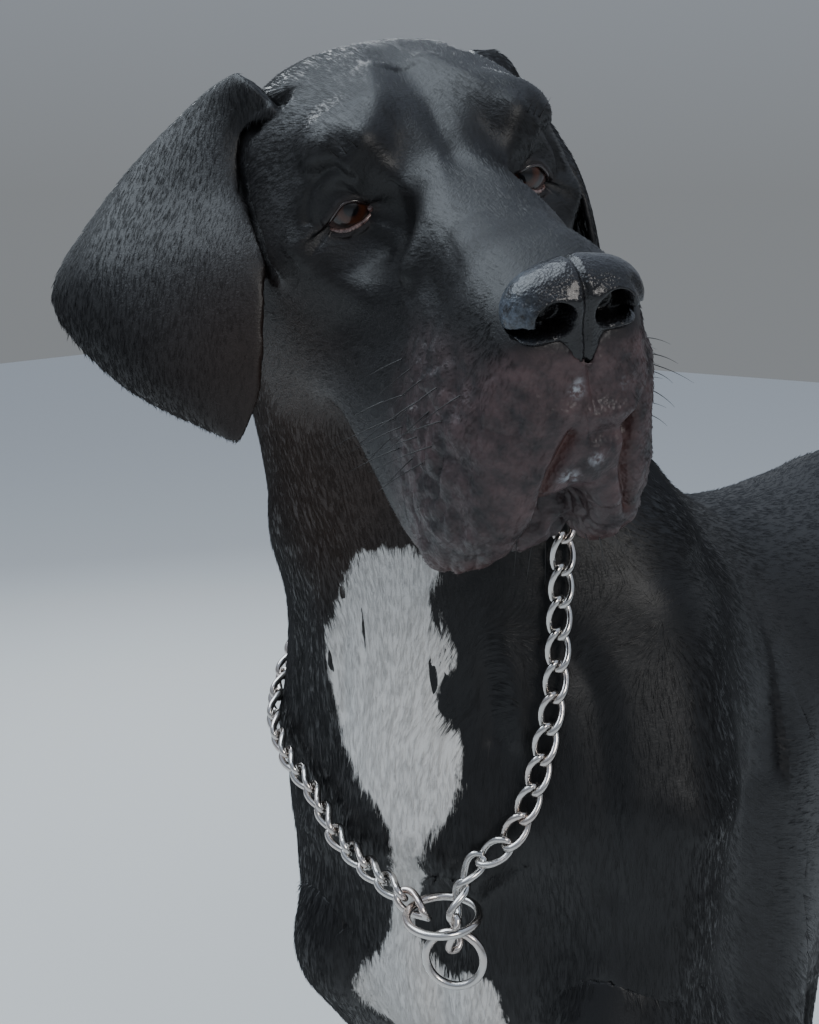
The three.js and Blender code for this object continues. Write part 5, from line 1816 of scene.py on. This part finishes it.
def eye_material():
    made, tree, shader = material("eye_wet", 0.28, Coat_Weight=0.7, Coat_Roughness=0.02, Specular_IOR_Level=0.25)
    fibres = noise(tree, here(tree), 900, 3, 0.6)
    angle = sums(tree, "ADD", attribute(tree, "gaze"), between(tree, fibres, 0, 1, -2.2, 2.2))
    ramp = tree.nodes.new("ShaderNodeValToRGB")
    put(tree, ramp.inputs["Fac"], sums(tree, "DIVIDE", angle, 90.0))
    rings = [
        [0.0, (0.002, 0.002, 0.003)], [0.15, (0.002, 0.002, 0.003)], [0.19, (0.030, 0.010, 0.005)],
        [0.30, (0.055, 0.016, 0.006)], [0.37, (0.028, 0.009, 0.005)], [0.43, (0.008, 0.005, 0.004)],
        [0.50, (0.016, 0.010, 0.009)], [0.60, (0.06, 0.038, 0.034)], [0.85, (0.12, 0.065, 0.06)],
    ]
    while len(ramp.color_ramp.elements) < len(rings):
        ramp.color_ramp.elements.new(0.5)
    for element, (place, colour) in zip(ramp.color_ramp.elements, rings):
        element.position = place
        element.color = (*colour, 1)
    put(tree, shader.inputs["Base Color"], ramp.outputs["Color"])
    return made


def steel_material():
    made, tree, shader = material("nickel_steel", 0.2, 1.0)
    worn = noise(tree, here(tree), 70, 3)
    warm = between(tree, noise(tree, here(tree), 38, 2), 0.45, 0.7)
    colour = mixed(tree, worn, (0.60, 0.58, 0.56), (0.70, 0.68, 0.65))
    put(tree, shader.inputs["Base Color"], mixed(tree, sums(tree, "MULTIPLY", warm, 0.35), colour, (0.66, 0.47, 0.40)))
    scratches = noise(tree, here(tree, (1, 1, 0.2)), 800, 2, 0.7)
    put(tree, shader.inputs["Roughness"], between(tree, scratches, 0.3, 0.7, 0.13, 0.26))
    bumped(tree, shader, scratches, 0.00005, 0.4)
    return made


def claw_material():
    made, tree, shader = material("claw_horn", 0.32)
    layers = noise(tree, here(tree, (1, 0.25, 1)), 500, 3)
    put(tree, shader.inputs["Base Color"], mixed(tree, layers, (0.012, 0.010, 0.010), (0.045, 0.037, 0.034)))
    bumped(tree, shader, layers, 0.0003, 0.5)
    return made


def wet_skin(name, dark, light):
    made, tree, shader = material(name, 0.22, Coat_Weight=0.8, Coat_Roughness=0.06)
    veins = noise(tree, here(tree), 620, 4, 0.65)
    put(tree, shader.inputs["Base Color"], mixed(tree, between(tree, veins, 0.35, 0.6), dark, light))
    return made


# Whiskers: thin bent hairs on the flews, the chin and the brows
def whisker(root_at, way, length):
    t = np.linspace(0, 1, 8)[:, None]
    way = way / np.linalg.norm(way)
    length = 0.7 * length
    path = root_at - 1.5 * way + (length + 1.5) * t * way + length * t**2 * np.array([0, 0.18, -0.22])
    return swept(path, 0.30 * (1 - 0.85 * t[:, 0]), 5)


def grow_whiskers():
    hairs = []
    head_tree_points = skin_head
    spots = []
    for side in (1, -1):
        for row in range(4):
            for step in range(5 - row % 2):
                at = np.array([side * 60.0, -128 + step * 13 + row * 5, -46 - row * 11.0])
                spots.append([at, np.array([side * 0.85, 0.35, -0.35]), rng.uniform(22, 44)])
        for k in range(3):
            spots.append([np.array([side * (8 + 7 * k), -118, -140.0]), np.array([side * 0.3, -0.2, -1.0]), rng.uniform(14, 24)])
        for k in range(3):
            spots.append([np.array([side * (40 + 4 * k), -60.0, 31 - 2 * k]), np.array([side * 0.5, -0.4, 0.9]), rng.uniform(14, 22)])
    bare = (skin_ear < 0.1) & (np.linalg.norm(skin_head - (0, -60, -40), axis=1) < 140)
    for at, way, length in spots:
        facing = at / np.linalg.norm(at)
        line = way / np.linalg.norm(way)
        away = skin_head - at
        across = away - (away @ (1, 0, 0))[:, None] * np.array([1.0, 0, 0]) if abs(at[0]) > 50 else None
        if across is not None:
            gap = np.linalg.norm(across, axis=1) + np.where(bare & (skin_head[:, 0] * at[0] > 0), 0, 99)
        elif at[2] < -100:
            gap = np.linalg.norm(away[:, :2], axis=1) + np.where(bare & (skin_head[:, 2] < -70), 0, 99)
        else:
            gap = np.linalg.norm(away[:, ::2], axis=1) + np.where((skin_head[:, 1] < 10) & bare, 0, 99)
        close = np.nonzero(gap < 2.0)[0]
        if len(close) == 0:
            close = np.array([int(np.argmin(gap))])
        if abs(at[0]) > 50:
            pick = close[np.argmax(np.abs(skin_head[close, 0]))]
        elif at[2] < -100:
            pick = close[np.argmin(skin_head[close, 2])]
        else:
            pick = close[np.argmin(skin_head[close, 1])]
        hairs.append(whisker(skin_head[pick], way + rng.normal(0, 0.12, 3), length))
    points, faces = joined(hairs)
    return shown(object_from("whiskers", from_dog(from_head(points)), faces), "coat")


whiskers = grow_whiskers()

# Everything gets its material, and the coat is put on
for piece in bpy.data.objects:
    if piece.type == "MESH":
        piece.data.materials.clear()
shown(skin, "coat", *FLESH)
nose_points = to_head(to_dog(points_of(nose)))
# Where the painted sky reflection lies on the nose: on the right wing, and more faintly on top.
dry = np.exp(-(((nose_points - (-25, -147, -14)) / (7, 12, 9)) ** 2).sum(1))
dry = np.maximum(dry, 0.6 * np.exp(-(((nose_points - (-20, -140, 0)) / (9, 7, 5)) ** 2).sum(1)))
give_attribute(nose, "dry", dry)
dark_hair = material("whisker_black", 0.35, colour=(0.012, 0.011, 0.011))[0]
finishes = {
    "skin": skin_material(),
    "nose": nose_material(),
    "eyeball_": eye_material(),
    "chain_links_": steel_material(),
    "claws": claw_material(),
    "lid_rim_upper": wet_skin("lid_dark", (0.008, 0.006, 0.006), (0.03, 0.016, 0.015)),
    "lid_rim_lower": wet_skin("lid_pale", (0.035, 0.018, 0.017), (0.26, 0.17, 0.155)),
    "tear_folds": wet_skin("tear_fold", (0.03, 0.012, 0.012), (0.10, 0.045, 0.04)),
    "whiskers": dark_hair,
}
finishes["ring_"] = finishes["chain_links_"]
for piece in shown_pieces():
    for start, finish in finishes.items():
        if piece.name.startswith(start):
            piece.data.materials.append(finish)
            break

tuft_finish = tuft_material()
parts = math.ceil(len(root) / MOST_TUFTS)
for number, picked in enumerate(np.array_split(np.arange(len(root)), parts)):
    make_tufts(f"fur_{number + 1}", picked).data.materials.append(tuft_finish)

# Stage, light and camera
CAMERA_FROM = np.array([393.0, -563.0, -1.0])
CAMERA_R = np.array([0.809017, 0.587785, 0.0])
CAMERA_AZ, CAMERA_PITCH, FOCAL_PX = 36.0, 12.0, 1500.0
camera_data = bpy.data.cameras.new("camera")
camera = bpy.data.objects.new("camera", camera_data)
bpy.context.scene.collection.objects.link(camera)
camera_data.lens = 36 * FOCAL_PX / 1024
camera_data.clip_start = 0.05
camera.location = from_dog(HEAD_AT + CAMERA_FROM)
camera.rotation_euler = (math.radians(90 - CAMERA_PITCH), 0, math.radians(CAMERA_AZ))
bpy.context.scene.camera = camera

bpy.ops.mesh.primitive_plane_add(size=14)
floor = bpy.context.object
floor.name = "floor"
floor.data.materials.append(material("floor_pale", 0.85, colour=(0.62, 0.62, 0.6))[0])

world = bpy.data.worlds.new("studio")
bpy.context.scene.world = world
world.use_nodes = True
# The room is brighter above than round the sides
room = world.node_tree
facing = room.nodes.new("ShaderNodeTexCoord")
split = room.nodes.new("ShaderNodeSeparateXYZ")
room.links.new(facing.outputs["Generated"], split.inputs[0])
glow = room.nodes.new("ShaderNodeValToRGB")
room.links.new(split.outputs["Z"], glow.inputs["Fac"])
glow.color_ramp.elements[0].position = 0.0
glow.color_ramp.elements[0].color = (0.36, 0.38, 0.40, 1)
glow.color_ramp.elements[1].position = 0.85
glow.color_ramp.elements[1].color = (0.80, 0.93, 1.15, 1)
room.links.new(glow.outputs["Color"], room.nodes["Background"].inputs["Color"])
room.nodes["Background"].inputs["Strength"].default_value = 0.62


def soft_light(name, place, aim, size, power, colour):
    data = bpy.data.lights.new(name, "AREA")
    data.size = size
    data.energy = power
    data.color = colour
    light = bpy.data.objects.new(name, data)
    bpy.context.scene.collection.objects.link(light)
    light.location = place
    light.rotation_mode = "QUATERNION"
    light.rotation_quaternion = (Vector(aim) - Vector(place)).to_track_quat("-Z", "Y")
    return light


soft_light("sky", (-1.2, -0.9, 3.2), (0, -0.2, 0.8), 2.6, 80, (0.82, 0.92, 1))
soft_light("key", (2.4, -1.6, 2.4), (0, -0.3, 0.8), 0.9, 26, (1, 0.96, 0.9))
soft_light("window", (-2.2, 1.4, 1.9), (0, 0, 0.9), 1.0, 30, (0.9, 0.96, 1))
